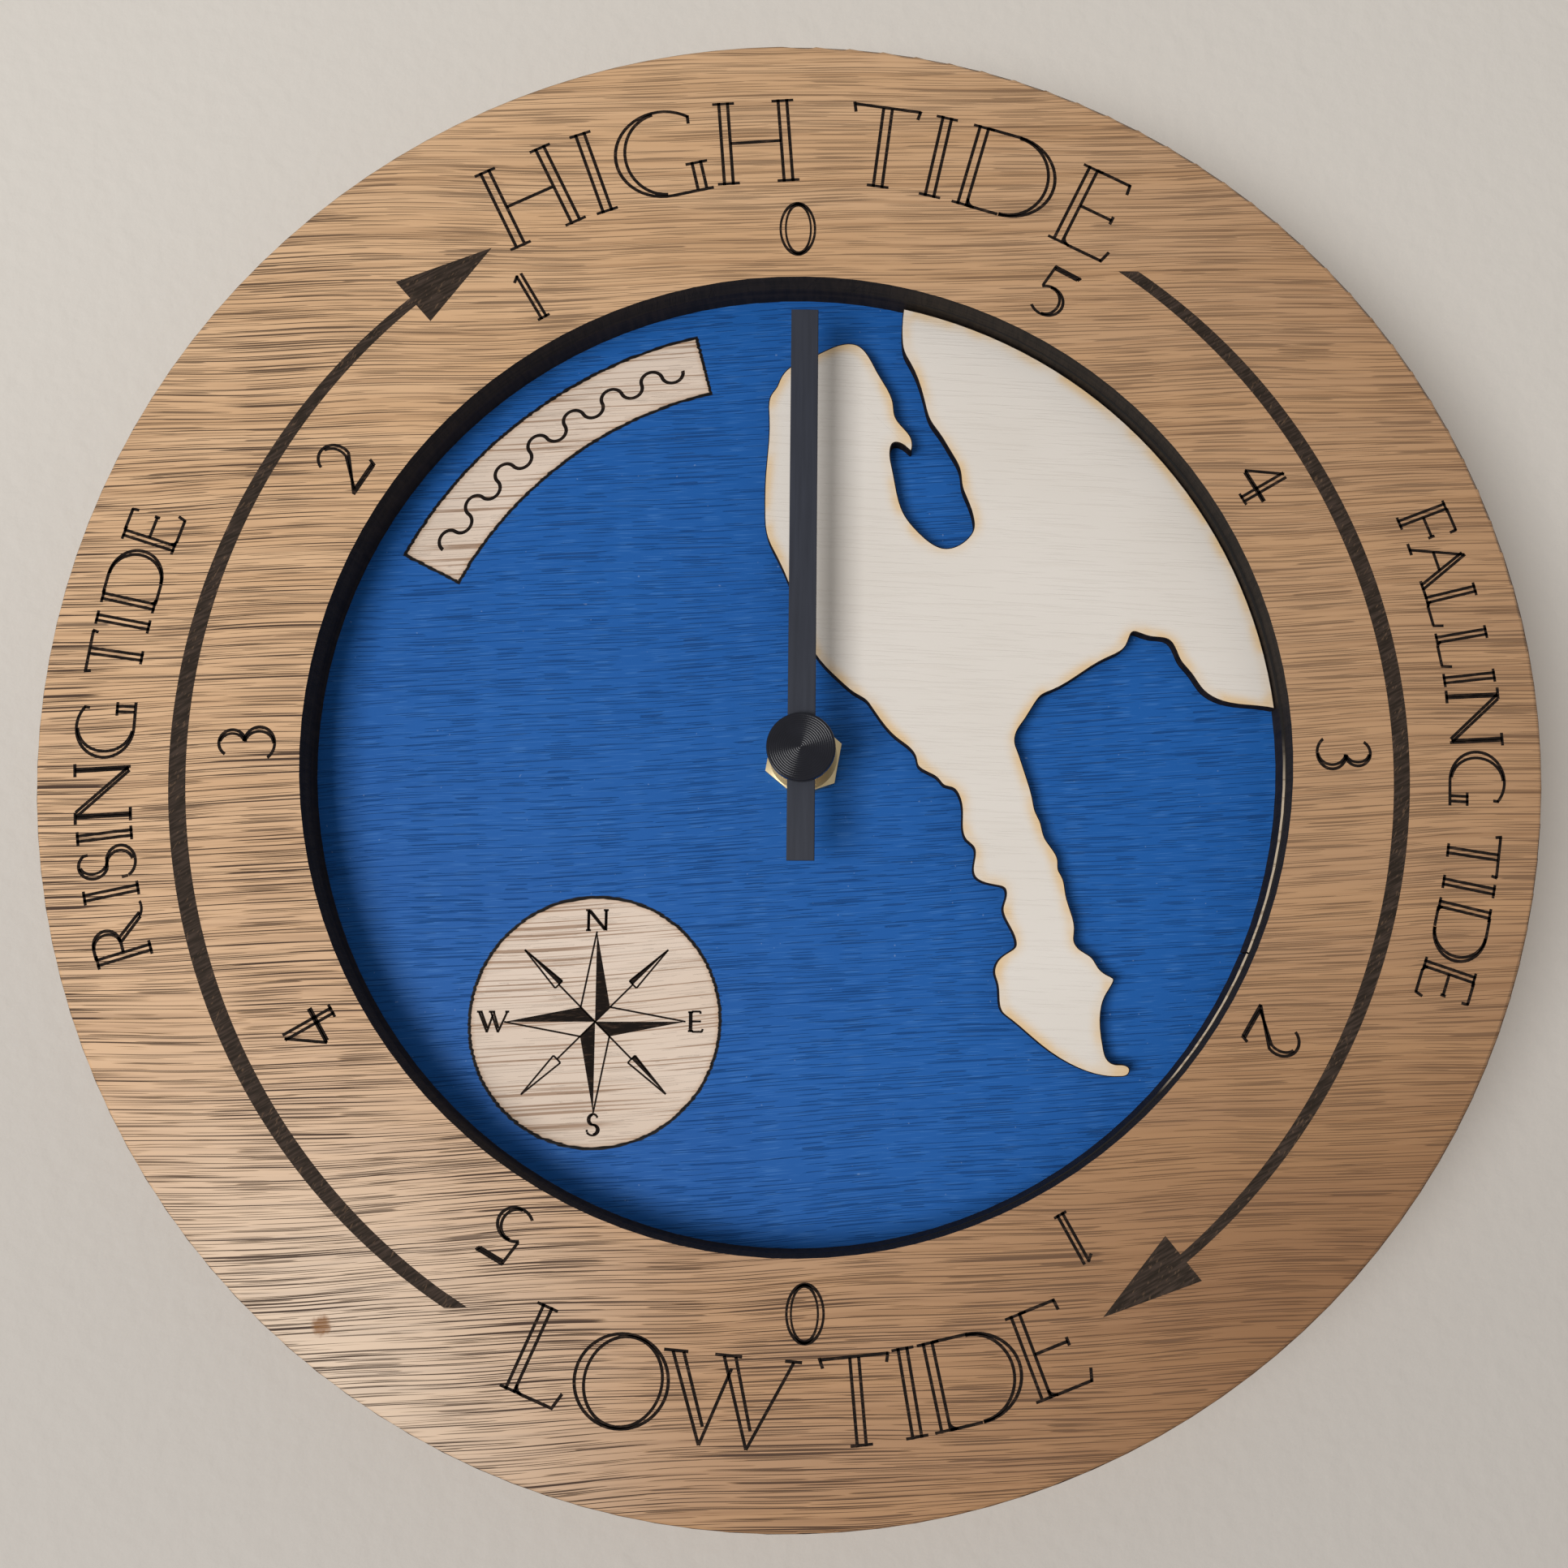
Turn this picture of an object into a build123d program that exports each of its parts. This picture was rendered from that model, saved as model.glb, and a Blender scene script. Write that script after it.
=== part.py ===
"""Wall-hung tide clock: a round laminated wooden dial with one hand, driven by a quartz movement.

The frame: +Z is up, the dial faces -Y, and +X is to the right seen from the front. The origin is on
the axis of the hanging eye, in the plane of the wall. Sketches lie on planes parallel to the dial and
are centred on the shaft or on an arbor; the depth of a plane is its distance in front of the wall.
All sizes are in millimetres.
"""

import os
from math import cos, pi, radians, sin

from build123d import *

os.makedirs("parts", exist_ok=True)

# Dial: front ring, spacer ring behind it, painted board and the raised land
rim_diameter = 250
ring_width = 42.5
ring_thickness = 5
rim_round = 0.8
spacer_thickness = 5
spacer_shift = 0.4
spacer_joint_gap = 0.3
spacer_joint_angle = -24
board_thickness = 3
land_thickness = 3
land_clearance = 0.2

# Coast of the land, as shares of the opening's radius, from the right-hand end to the upper end
coast_shares = [
    (0.945, 0.111), (0.863, 0.126), (0.836, 0.145), (0.811, 0.181), (0.790, 0.207), (0.779, 0.233),
    (0.767, 0.250), (0.730, 0.257), (0.704, 0.265), (0.690, 0.267), (0.683, 0.256), (0.674, 0.236),
    (0.632, 0.210), (0.517, 0.141), (0.495, 0.130), (0.485, 0.118), (0.459, 0.077), (0.446, 0.058),
    (0.440, 0.032), (0.447, 0.009), (0.457, -0.022), (0.476, -0.088), (0.482, -0.115), (0.491, -0.134),
    (0.499, -0.165), (0.521, -0.199), (0.527, -0.215), (0.528, -0.234), (0.535, -0.248),
    (0.543, -0.286), (0.556, -0.330), (0.560, -0.360), (0.559, -0.381), (0.568, -0.396),
    (0.596, -0.416), (0.608, -0.435), (0.630, -0.452), (0.639, -0.458), (0.635, -0.472),
    (0.619, -0.499), (0.613, -0.520), (0.616, -0.597), (0.626, -0.624), (0.638, -0.631),
    (0.655, -0.632), (0.669, -0.640), (0.667, -0.651), (0.648, -0.657), (0.615, -0.655),
    (0.530, -0.622), (0.481, -0.587), (0.424, -0.539), (0.410, -0.527), (0.400, -0.468),
    (0.394, -0.446), (0.401, -0.422), (0.426, -0.402), (0.438, -0.391), (0.438, -0.381),
    (0.420, -0.341), (0.412, -0.314), (0.419, -0.287), (0.416, -0.273), (0.404, -0.268),
    (0.370, -0.260), (0.355, -0.249), (0.351, -0.232), (0.355, -0.206), (0.353, -0.189),
    (0.337, -0.173), (0.330, -0.157), (0.329, -0.115), (0.322, -0.080), (0.311, -0.066),
    (0.292, -0.060), (0.279, -0.046), (0.248, -0.028), (0.237, -0.018), (0.233, -0.002), (0.222, 0.016),
    (0.194, 0.038), (0.157, 0.079), (0.140, 0.104), (0.129, 0.118), (0.108, 0.131), (0.077, 0.156),
    (0.026, 0.210), (-0.012, 0.300), (-0.038, 0.375), (-0.061, 0.425), (-0.080, 0.466), (-0.086, 0.520),
    (-0.085, 0.600), (-0.079, 0.725), (-0.074, 0.777), (-0.063, 0.793), (-0.057, 0.808),
    (-0.043, 0.830), (0.015, 0.862), (0.070, 0.888), (0.108, 0.888), (0.129, 0.869), (0.151, 0.829),
    (0.177, 0.784), (0.185, 0.760), (0.189, 0.732), (0.201, 0.713), (0.219, 0.692), (0.226, 0.669),
    (0.223, 0.656), (0.211, 0.665), (0.184, 0.671), (0.179, 0.656), (0.184, 0.615), (0.197, 0.549),
    (0.208, 0.519), (0.239, 0.479), (0.270, 0.453), (0.290, 0.445), (0.344, 0.468), (0.355, 0.487),
    (0.355, 0.508), (0.340, 0.555), (0.331, 0.580), (0.327, 0.613), (0.308, 0.653), (0.284, 0.693),
    (0.263, 0.724), (0.252, 0.760), (0.222, 0.847), (0.208, 0.874), (0.203, 0.905), (0.204, 0.950),
]
coast_start_share = 0.106
coast_end_share = 0.208

# Movement case, 56 mm square, with the battery bay below the wheels and the hanging eye on top
case_size = 56
case_depth = 16.5
case_wall = 1.5
case_corner = 4
ledge_width = 0.8
inner_corner = 0.5
bay_clearance = 0.45
partition_wall = 0.9
eye_rise = 7
eye_radius = 3
tab_radius = 6.5
tab_foot = 24
tab_thickness = 3
post_radius = 1.2
cover_thickness = 1.5
cover_clearance = 0.15

# Threaded bush, nut and gasket that clamp the movement to the board
bush_diameter = 8
bush_flange = 12
bush_flange_thickness = 0.5
bush_end = 0.6
moulded_fit = 0.02
board_hole_clearance = 0.2
gasket_diameter = 32
gasket_thickness = 1
gasket_clearance = 0.2
nut_across_flats = 12
nut_thickness = 2.3
nut_face_inset = 0.2
nut_cone_share = 0.5
nut_turn = 20
thread_clearance = 0.05

# Hand, its collet and its cap
hand_width = 4.6
hand_tip_gap = 6.9
hand_tail = 18.6
hand_thickness = 0.8
hand_standoff = 1.4
hand_edge_round = 0.15
hub_diameter = 9
collet_diameter = 6.4
collet_flange = 8.4
collet_flange_thickness = 1
collet_length = 3.2
cap_diameter = 11.4
cap_thickness = 1.8
cap_edge_round = 0.3
cap_spigot_length = 0.6
press_gap = 0.02

# Tide tube and the arbors inside the case
tube_diameter = 5
tube_bore = 3.2
running_gap = 0.05
centre_arbor_radius = 1.1
centre_arbor_front = 6
arbor_radius = 0.4
setting_arbor_radius = 0.6
pivot_radius = 0.3
boss_radius = 1.1
bore_floor = 0.3

# Toothed wheels: counts, arbor distances as shares of the case's size, and the room between levels
tide_teeth = 36
minute_pinion_teeth = 12
minute_teeth = 40
centre_pinion_teeth = 10
centre_teeth = 60
third_pinion_teeth = 8
third_teeth = 64
second_pinion_teeth = 8
second_teeth = 60
step_pinion_teeth = 15
step_teeth = 60
rotor_pinion_teeth = 8
setting_share = 0.16
third_share = 0.152
step_share = 0.16
rotor_share = 0.121
setting_angle = 0
third_angle = 180
step_angle = 90
rotor_angle = 40
wheel_thickness = 0.8
pinion_overlap = 0.2
end_gap = 0.3
tooth_width_share = 0.42
addendum_share = 0.85
dedendum_share = 1.2
tip_slope_share = 0.36
root_slope_share = 0.1
tide_to_minute_gap = 0.6
minute_to_centre_gap = 0.8
centre_to_third_gap = 1.4
third_to_second_gap = 1.0
second_to_step_gap = 1.0

# Setting knob in its well in the cover
knob_diameter = 11
knob_thickness = 2.2
knob_flutes = 18
knob_flute_radius = 0.55
knob_inset = 0.3
knob_clearance = 0.7
well_wall = 0.8

# Stepping motor: magnet, stator, coil
magnet_share = 0.88
magnet_thickness = 3
magnet_to_step_gap = 1
stator_clearance = 0.3
stator_thickness = 0.8
stator_half_share = 0.196
stator_bridge = 0.35
stator_arm_width = 3
coil_clearance = 0.9
core_width = 2.6
core_thickness = 1
bobbin_wall = 0.5
bobbin_flange_share = 0.125
bobbin_flange_thickness = 0.6
bobbin_end_gap = 0.5
winding_inset = 0.3

# Circuit board, crystal, cell and contact strips
circuit_width_share = 0.3
circuit_height_share = 0.257
circuit_thickness = 0.8
circuit_clearance = 0.3
chip_radius = 2.6
chip_height = 1.1
chip_round_share = 0.6
chip_place_shares = (0.21, -0.19)
crystal_diameter = 2
crystal_length = 6
crystal_place_shares = (-0.12, 0.23)
crystal_gap = 0.05
cell_diameter_share = 0.29
spring_reach = 1.58
cell_edge_round = 0.8
nub_diameter = 5.3
nub_length = 1.2
cell_gap = 0.15
strip_thickness = 0.4
strip_width = 4
strip_gap = 0.2
strip_slot_clearance = 0.2
strip_pitch = 1.15
strip_foot_share = 0.12

# Depths of the stacked layers, measured from the wall
opening_radius = rim_diameter / 2 - ring_width
shaft_drop = case_size / 2 + eye_rise
board_back = case_depth + gasket_thickness
board_front = board_back + board_thickness
spacer_front = board_front + spacer_thickness
ring_front = spacer_front + ring_thickness
hand_back = ring_front + hand_standoff
hand_front = hand_back + hand_thickness
chamber_front = case_depth - case_wall

# Depths of the wheel levels, each the rear face of its wheel
tide_level = chamber_front - end_gap - wheel_thickness
minute_level = tide_level - tide_to_minute_gap - wheel_thickness
centre_level = minute_level - minute_to_centre_gap - wheel_thickness
third_level = centre_level - centre_to_third_gap - wheel_thickness
second_level = third_level - third_to_second_gap - wheel_thickness
step_level = second_level - second_to_step_gap - wheel_thickness
magnet_level = step_level + wheel_thickness + magnet_to_step_gap
boss_end = centre_level + wheel_thickness + 2 * pinion_overlap
rear_boss_end = step_level - pinion_overlap - end_gap - wheel_thickness
rear_pivot_end = cover_thickness + bore_floor + pinion_overlap
front_pivot_end = chamber_front - bore_floor


# Arbor distances and places about the shaft, and the modules that fit each pair to its distance
def arbor_place(distance, angle, start=(0, 0)):
    """A place at a distance and an angle from the shaft or from another arbor."""
    return (start[0] + distance * cos(radians(angle)), start[1] + distance * sin(radians(angle)))


setting_distance = case_size * setting_share
third_distance = case_size * third_share
step_distance = case_size * step_share
rotor_distance = case_size * rotor_share
setting_place = arbor_place(setting_distance, setting_angle)
third_place = arbor_place(third_distance, third_angle)
step_place = arbor_place(step_distance, step_angle)
rotor_place = arbor_place(rotor_distance, rotor_angle, step_place)
tide_module = 2 * setting_distance / (tide_teeth + minute_pinion_teeth)
minute_module = 2 * setting_distance / (minute_teeth + centre_pinion_teeth)
centre_module = 2 * third_distance / (centre_teeth + third_pinion_teeth)
third_module = 2 * third_distance / (third_teeth + second_pinion_teeth)
second_module = 2 * step_distance / (second_teeth + step_pinion_teeth)
step_module = 2 * rotor_distance / (step_teeth + rotor_pinion_teeth)


def layer(depth, place=(0, 0)):
    """A plane parallel to the dial, at a depth in front of the wall, centred on a place by the shaft."""
    return Plane(origin=(place[0], -depth, place[1] - shaft_drop), x_dir=(1, 0, 0), z_dir=(0, -1, 0))


def meshed(phase, teeth, next_teeth, direction):
    """The turn that puts the next wheel's gap on a wheel's tooth, along the line of centres."""
    return direction + 180 - (phase - direction) * teeth / next_teeth - 180 / next_teeth


def toothed(depth, place, teeth, module, thickness, phase):
    """Straight-sided teeth on a disc, added to the part that is being built."""
    pitch_radius = teeth * module / 2
    tip_radius = pitch_radius + addendum_share * module
    root_radius = pitch_radius - dedendum_share * module
    half_tooth = tooth_width_share * pi * module / 2
    tip_half = (half_tooth - tip_slope_share * addendum_share * module) / pitch_radius
    root_half = (half_tooth + root_slope_share * dedendum_share * module) / pitch_radius
    outline = []
    for tooth in range(teeth):
        middle = radians(phase) + 2 * pi * tooth / teeth
        rising_side = [(root_radius, -root_half), (tip_radius, -tip_half)]
        falling_side = [(tip_radius, tip_half), (root_radius, root_half)]
        for radius, turn in rising_side + falling_side:
            outline.append((radius * cos(middle + turn), radius * sin(middle + turn)))
    with BuildSketch(layer(depth, place)) as teeth_face:
        with BuildLine():
            Polyline(*outline, close=True)
        make_face()
    extrude(teeth_face.sketch, amount=thickness)


def round_bar(depth, place, radius, length, mode=Mode.ADD):
    """A round stretch of arbor, boss or bore, added to or cut from the part that is being built."""
    with BuildSketch(layer(depth, place)) as end_face:
        Circle(radius)
    extrude(end_face.sketch, amount=length, mode=mode)


def turning_plane(depth):
    """A plane through the shaft, for turned profiles: radius across, depth forwards."""
    return Plane(origin=(0, -depth, -shaft_drop), x_dir=(1, 0, 0), z_dir=(0, 0, -1))


def turning_axis():
    """The shaft's axis, pointing forwards."""
    return Axis((0, 0, -shaft_drop), (0, -1, 0))


def finish(builder, name):
    """Label a finished piece and write it."""
    builder.part.label = name
    export_step(builder.part, f"parts/{name}.step")


# Front ring: a flat veneered ring with a softened outer edge
with BuildPart() as ring_frame:
    with BuildSketch(layer(spacer_front)):
        Circle(rim_diameter / 2)
        Circle(opening_radius, mode=Mode.SUBTRACT)
    extrude(amount=ring_thickness)
    rim_edges = ring_frame.edges().filter_by(GeomType.CIRCLE).group_by(SortBy.RADIUS)[-1]
    fillet(rim_edges.sort_by(Axis.Y)[0], radius=rim_round)
finish(ring_frame, "ring_frame")

# Spacer ring: set a little to the left of the front ring, with one open butt joint
with BuildPart() as spacer_ring:
    with BuildSketch(layer(board_front)):
        Circle(rim_diameter / 2)
        with Locations((-spacer_shift, 0)):
            Circle(opening_radius, mode=Mode.SUBTRACT)
        with Locations(Rotation(0, 0, spacer_joint_angle)):
            with Locations((rim_diameter / 2, 0)):
                Rectangle(rim_diameter, spacer_joint_gap, mode=Mode.SUBTRACT)
    extrude(amount=spacer_thickness)
finish(spacer_ring, "spacer_ring")

# Back board: full disc with the hole for the movement's bush
with BuildPart() as back_board:
    with BuildSketch(layer(board_back)):
        Circle(rim_diameter / 2)
        Circle(bush_diameter / 2 + board_hole_clearance, mode=Mode.SUBTRACT)
    extrude(amount=board_thickness)
finish(back_board, "back_board")

# Land: one flat shape cut along the coast, its outer edge round along the opening's wall
with BuildPart() as land_overlay:
    land_radius = opening_radius - spacer_shift - land_clearance
    coast = [(across * opening_radius, up * opening_radius) for across, up in coast_shares]
    shore_right = (land_radius * (1 - coast_start_share**2) ** 0.5, land_radius * coast_start_share)
    shore_top = (land_radius * coast_end_share, land_radius * (1 - coast_end_share**2) ** 0.5)
    with BuildSketch(layer(board_front)):
        with BuildLine():
            Spline(shore_right, *coast, shore_top)
            RadiusArc(shore_top, shore_right, land_radius)
        make_face()
    extrude(amount=land_thickness)
finish(land_overlay, "land_overlay")

# Movement case: moulded box open at the rear, with bearing bosses, posts, battery bay and hanging tab
case_half = case_size / 2
recess_half = case_half - case_wall
strip_room = strip_gap + strip_thickness
cell_length = 2 * (recess_half - strip_room) - press_gap - nub_length - spring_reach
cell_diameter = cell_length * cell_diameter_share
bay_height = cell_diameter + 2 * bay_clearance
bay_top = bay_height - recess_half
partition_height = bay_top + partition_wall
recess_height = recess_half - partition_height
recess_middle = (0, (recess_half + partition_height) / 2)
cell_place = (0, (bay_top - recess_half) / 2)
magnet_diameter = rotor_distance * magnet_share
stator_half_width = case_size * stator_half_share
stator_half_height = magnet_diameter / 2 + stator_clearance + stator_bridge
stator_level = magnet_level + magnet_thickness / 2 - stator_thickness / 2
stator_post_across = stator_half_width - stator_arm_width / 2
stator_post_up = rotor_place[1] - stator_half_height / 2
stator_post_places = [(rotor_place[0] + side * stator_post_across, stator_post_up) for side in (-1, 1)]
cell_depth = chamber_front - cell_gap - cell_diameter / 2
strip_level = cell_depth - strip_width / 2
circuit_level = strip_level + strip_width
circuit_width = case_size * circuit_width_share
circuit_height = case_size * circuit_height_share
circuit_place = (
    -recess_half + ledge_width + circuit_clearance + circuit_width / 2,
    recess_half - ledge_width - circuit_clearance - circuit_height / 2,
)
circuit_post_across = circuit_width / 2 - 2 * post_radius
circuit_post_up = circuit_place[1] + circuit_height / 2 - 2 * post_radius
circuit_post_places = [(circuit_place[0] + side * circuit_post_across, circuit_post_up) for side in (-1, 1)]
strip_across = recess_half - ledge_width - strip_gap - strip_thickness / 2

with BuildPart() as movement_case:
    with BuildSketch(layer(0)):
        RectangleRounded(case_size, case_size, case_corner)
    extrude(amount=case_depth)
    with BuildSketch(layer(0)):
        with Locations(recess_middle):
            RectangleRounded(2 * recess_half, recess_height, inner_corner)
    extrude(amount=cover_thickness, mode=Mode.SUBTRACT)
    with BuildSketch(layer(cover_thickness)):
        with Locations(recess_middle):
            RectangleRounded(2 * (recess_half - ledge_width), recess_height - 2 * ledge_width, inner_corner)
    extrude(amount=chamber_front - cover_thickness, mode=Mode.SUBTRACT)
    with BuildSketch(layer(0, cell_place)):
        RectangleRounded(2 * recess_half, bay_height, inner_corner)
    extrude(amount=chamber_front, mode=Mode.SUBTRACT)
    with BuildSketch(layer(0)):
        with Locations((0, case_half)):
            Rectangle(tab_foot, tab_thickness)
        with Locations((0, shaft_drop)):
            Circle(tab_radius)
        make_hull()
        with Locations(recess_middle):
            RectangleRounded(2 * recess_half, recess_height, inner_corner, mode=Mode.SUBTRACT)
        with Locations((0, shaft_drop)):
            Circle(eye_radius, mode=Mode.SUBTRACT)
    extrude(amount=tab_thickness)
    round_bar(chamber_front, (0, 0), bush_diameter / 2 + moulded_fit, case_wall, Mode.SUBTRACT)
    for place in (third_place, step_place, rotor_place):
        round_bar(boss_end, place, boss_radius, chamber_front - boss_end)
        round_bar(boss_end, place, arbor_radius + running_gap, front_pivot_end - boss_end, Mode.SUBTRACT)
    round_bar(chamber_front, setting_place, arbor_radius + running_gap, case_wall / 2, Mode.SUBTRACT)
    for place in stator_post_places:
        post_start = stator_level + stator_thickness
        round_bar(post_start, place, post_radius, chamber_front - post_start)
    for place in circuit_post_places:
        post_start = circuit_level + circuit_thickness
        round_bar(post_start, place, post_radius, chamber_front - post_start)
    with BuildSketch(layer(strip_level - strip_slot_clearance)):
        for side in (-1, 1):
            with Locations((side * strip_across, partition_height)):
                Rectangle(strip_thickness + 2 * strip_slot_clearance, 2 * (partition_wall + ledge_width))
    extrude(amount=strip_width + 2 * strip_slot_clearance, mode=Mode.SUBTRACT)
finish(movement_case, "movement_case")

# Threaded bush: brass, moulded into the front wall, with a flange under the gasket
bush_length = board_front + nut_thickness + bush_end - chamber_front
with BuildPart() as threaded_bush:
    round_bar(chamber_front, (0, 0), bush_diameter / 2, bush_length)
    round_bar(case_depth, (0, 0), bush_flange / 2, bush_flange_thickness)
    round_bar(chamber_front, (0, 0), tube_diameter / 2 + running_gap, bush_length, Mode.SUBTRACT)
finish(threaded_bush, "threaded_bush")

# Rubber gasket between case and board
with BuildPart() as rubber_gasket:
    with BuildSketch(layer(case_depth)):
        Circle(gasket_diameter / 2)
        Circle(bush_flange / 2 + gasket_clearance, mode=Mode.SUBTRACT)
    extrude(amount=gasket_thickness)
finish(rubber_gasket, "rubber_gasket")

# Hexagon nut on the bush, its front corners turned off to a shallow cone
nut_corner_radius = nut_across_flats / 3**0.5
nut_face_radius = nut_across_flats / 2 - nut_face_inset
nut_shoulder = nut_thickness - (nut_corner_radius - nut_face_radius) * nut_cone_share
with BuildPart() as hex_nut:
    with BuildSketch(turning_plane(board_front)):
        with BuildLine():
            Polyline(
                (0, 0),
                (nut_corner_radius, 0),
                (nut_corner_radius, nut_shoulder),
                (nut_face_radius, nut_thickness),
                (0, nut_thickness),
                close=True,
            )
        make_face()
    revolve(axis=turning_axis())
    with BuildSketch(layer(board_front)):
        RegularPolygon(nut_across_flats / 2, 6, major_radius=False, rotation=nut_turn)
    extrude(amount=nut_thickness, mode=Mode.INTERSECT)
    round_bar(board_front, (0, 0), bush_diameter / 2 + thread_clearance, nut_thickness, Mode.SUBTRACT)
finish(hex_nut, "hex_nut")

# Movement cover: lid in the case's rear recess, with rear bearing bosses and the setting knob's well
well_radius = knob_diameter / 2 + knob_clearance
well_floor = knob_inset + knob_thickness + end_gap
with BuildPart() as movement_cover:
    with BuildSketch(layer(0)):
        with Locations(recess_middle):
            RectangleRounded(
                2 * (recess_half - cover_clearance),
                recess_height - 2 * cover_clearance,
                inner_corner,
            )
    extrude(amount=cover_thickness)
    round_bar(0, setting_place, well_radius + well_wall, well_floor + well_wall)
    round_bar(0, setting_place, well_radius, well_floor, Mode.SUBTRACT)
    round_bar(well_floor, setting_place, setting_arbor_radius + running_gap, well_wall, Mode.SUBTRACT)
    for place in ((0, 0), third_place, step_place, rotor_place):
        bore_start = cover_thickness + bore_floor
        round_bar(cover_thickness, place, boss_radius, rear_boss_end - cover_thickness)
        round_bar(bore_start, place, arbor_radius + running_gap, rear_boss_end - bore_start, Mode.SUBTRACT)
finish(movement_cover, "movement_cover")

# Tide wheel and the tube that carries the hand through the bush
with BuildPart() as tide_wheel:
    toothed(tide_level, (0, 0), tide_teeth, tide_module, wheel_thickness, 0)
    round_bar(tide_level, (0, 0), tube_diameter / 2, hand_back - tide_level)
    round_bar(tide_level, (0, 0), tube_bore / 2, hand_back - tide_level, Mode.SUBTRACT)
finish(tide_wheel, "tide_wheel")

# Minute wheel: its pinion drives the tide wheel, its arbor runs back to the setting knob
minute_pinion_phase = meshed(0, tide_teeth, minute_pinion_teeth, setting_angle)
with BuildPart() as minute_wheel:
    minute_front = minute_level + wheel_thickness
    pinion_front = tide_level + wheel_thickness + pinion_overlap / 2
    toothed(minute_level, setting_place, minute_teeth, minute_module, wheel_thickness, 0)
    toothed(
        minute_front,
        setting_place,
        minute_pinion_teeth,
        tide_module,
        pinion_front - minute_front,
        minute_pinion_phase,
    )
    round_bar(pinion_front, setting_place, arbor_radius, chamber_front + case_wall / 4 - pinion_front)
    round_bar(2 * knob_inset, setting_place, setting_arbor_radius, minute_level - 2 * knob_inset)
finish(minute_wheel, "minute_wheel")

# Setting knob: fluted disc on the rear end of the minute wheel's arbor
with BuildPart() as set_knob:
    with BuildSketch(layer(knob_inset, setting_place)):
        Circle(knob_diameter / 2)
        with PolarLocations(knob_diameter / 2, knob_flutes):
            Circle(knob_flute_radius, mode=Mode.SUBTRACT)
    extrude(amount=knob_thickness)
    round_bar(
        2 * knob_inset,
        setting_place,
        setting_arbor_radius + press_gap,
        knob_thickness,
        Mode.SUBTRACT,
    )
finish(set_knob, "set_knob")

# Centre pinion: its arbor runs in the tide tube and carries the centre wheel behind the pinion
centre_pinion_phase = meshed(0, minute_teeth, centre_pinion_teeth, setting_angle + 180)
centre_arbor_rear = centre_level - centre_to_third_gap / 2
with BuildPart() as centre_pinion:
    pinion_back = minute_level - pinion_overlap
    toothed(
        pinion_back,
        (0, 0),
        centre_pinion_teeth,
        minute_module,
        wheel_thickness + 2 * pinion_overlap,
        centre_pinion_phase,
    )
    rear_length = pinion_back - centre_arbor_rear
    round_bar(centre_arbor_rear, (0, 0), centre_arbor_radius, rear_length)
    pinion_front = pinion_back + wheel_thickness + 2 * pinion_overlap
    arbor_front = case_depth + centre_arbor_front
    round_bar(pinion_front, (0, 0), tube_bore / 2 - running_gap, arbor_front - pinion_front)
    round_bar(centre_arbor_rear, (0, 0), pivot_radius + running_gap, rear_length, Mode.SUBTRACT)
finish(centre_pinion, "centre_pinion")

# Centre wheel: turns the centre arbor through friction, so that the hand can be set
with BuildPart() as centre_wheel:
    toothed(centre_level, (0, 0), centre_teeth, centre_module, wheel_thickness, 0)
    round_bar(centre_level, (0, 0), centre_arbor_radius + running_gap, wheel_thickness, Mode.SUBTRACT)
finish(centre_wheel, "centre_wheel")

# Third wheel and pinion
with BuildPart() as third_wheel:
    third_front = third_level + wheel_thickness
    third_pinion_front = centre_level + wheel_thickness + pinion_overlap
    toothed(third_level, third_place, third_teeth, third_module, wheel_thickness, 0)
    toothed(
        third_front,
        third_place,
        third_pinion_teeth,
        centre_module,
        third_pinion_front - third_front,
        meshed(0, centre_teeth, third_pinion_teeth, third_angle),
    )
    round_bar(rear_pivot_end, third_place, arbor_radius, third_level - rear_pivot_end)
    round_bar(third_pinion_front, third_place, arbor_radius, front_pivot_end - end_gap - third_pinion_front)
finish(third_wheel, "third_wheel")

# Second wheel: behind the centre arbor, its front pivot in that arbor's end
with BuildPart() as second_wheel:
    second_front = second_level + wheel_thickness
    second_pinion_front = third_level + wheel_thickness + pinion_overlap
    toothed(second_level, (0, 0), second_teeth, second_module, wheel_thickness, 0)
    toothed(
        second_front,
        (0, 0),
        second_pinion_teeth,
        third_module,
        second_pinion_front - second_front,
        meshed(0, third_teeth, second_pinion_teeth, third_angle + 180),
    )
    round_bar(rear_pivot_end, (0, 0), arbor_radius, second_level - rear_pivot_end)
    pivot_front = minute_level - 2 * pinion_overlap
    round_bar(second_pinion_front, (0, 0), pivot_radius, pivot_front - second_pinion_front)
finish(second_wheel, "second_wheel")

# Step wheel between the rotor and the second wheel
with BuildPart() as step_wheel:
    step_front = step_level + wheel_thickness
    step_pinion_front = second_level + wheel_thickness + pinion_overlap
    toothed(step_level, step_place, step_teeth, step_module, wheel_thickness, 0)
    toothed(
        step_front,
        step_place,
        step_pinion_teeth,
        second_module,
        step_pinion_front - step_front,
        meshed(0, second_teeth, step_pinion_teeth, step_angle),
    )
    round_bar(rear_pivot_end, step_place, arbor_radius, step_level - rear_pivot_end)
    round_bar(step_pinion_front, step_place, arbor_radius, front_pivot_end - end_gap - step_pinion_front)
finish(step_wheel, "step_wheel")

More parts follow.
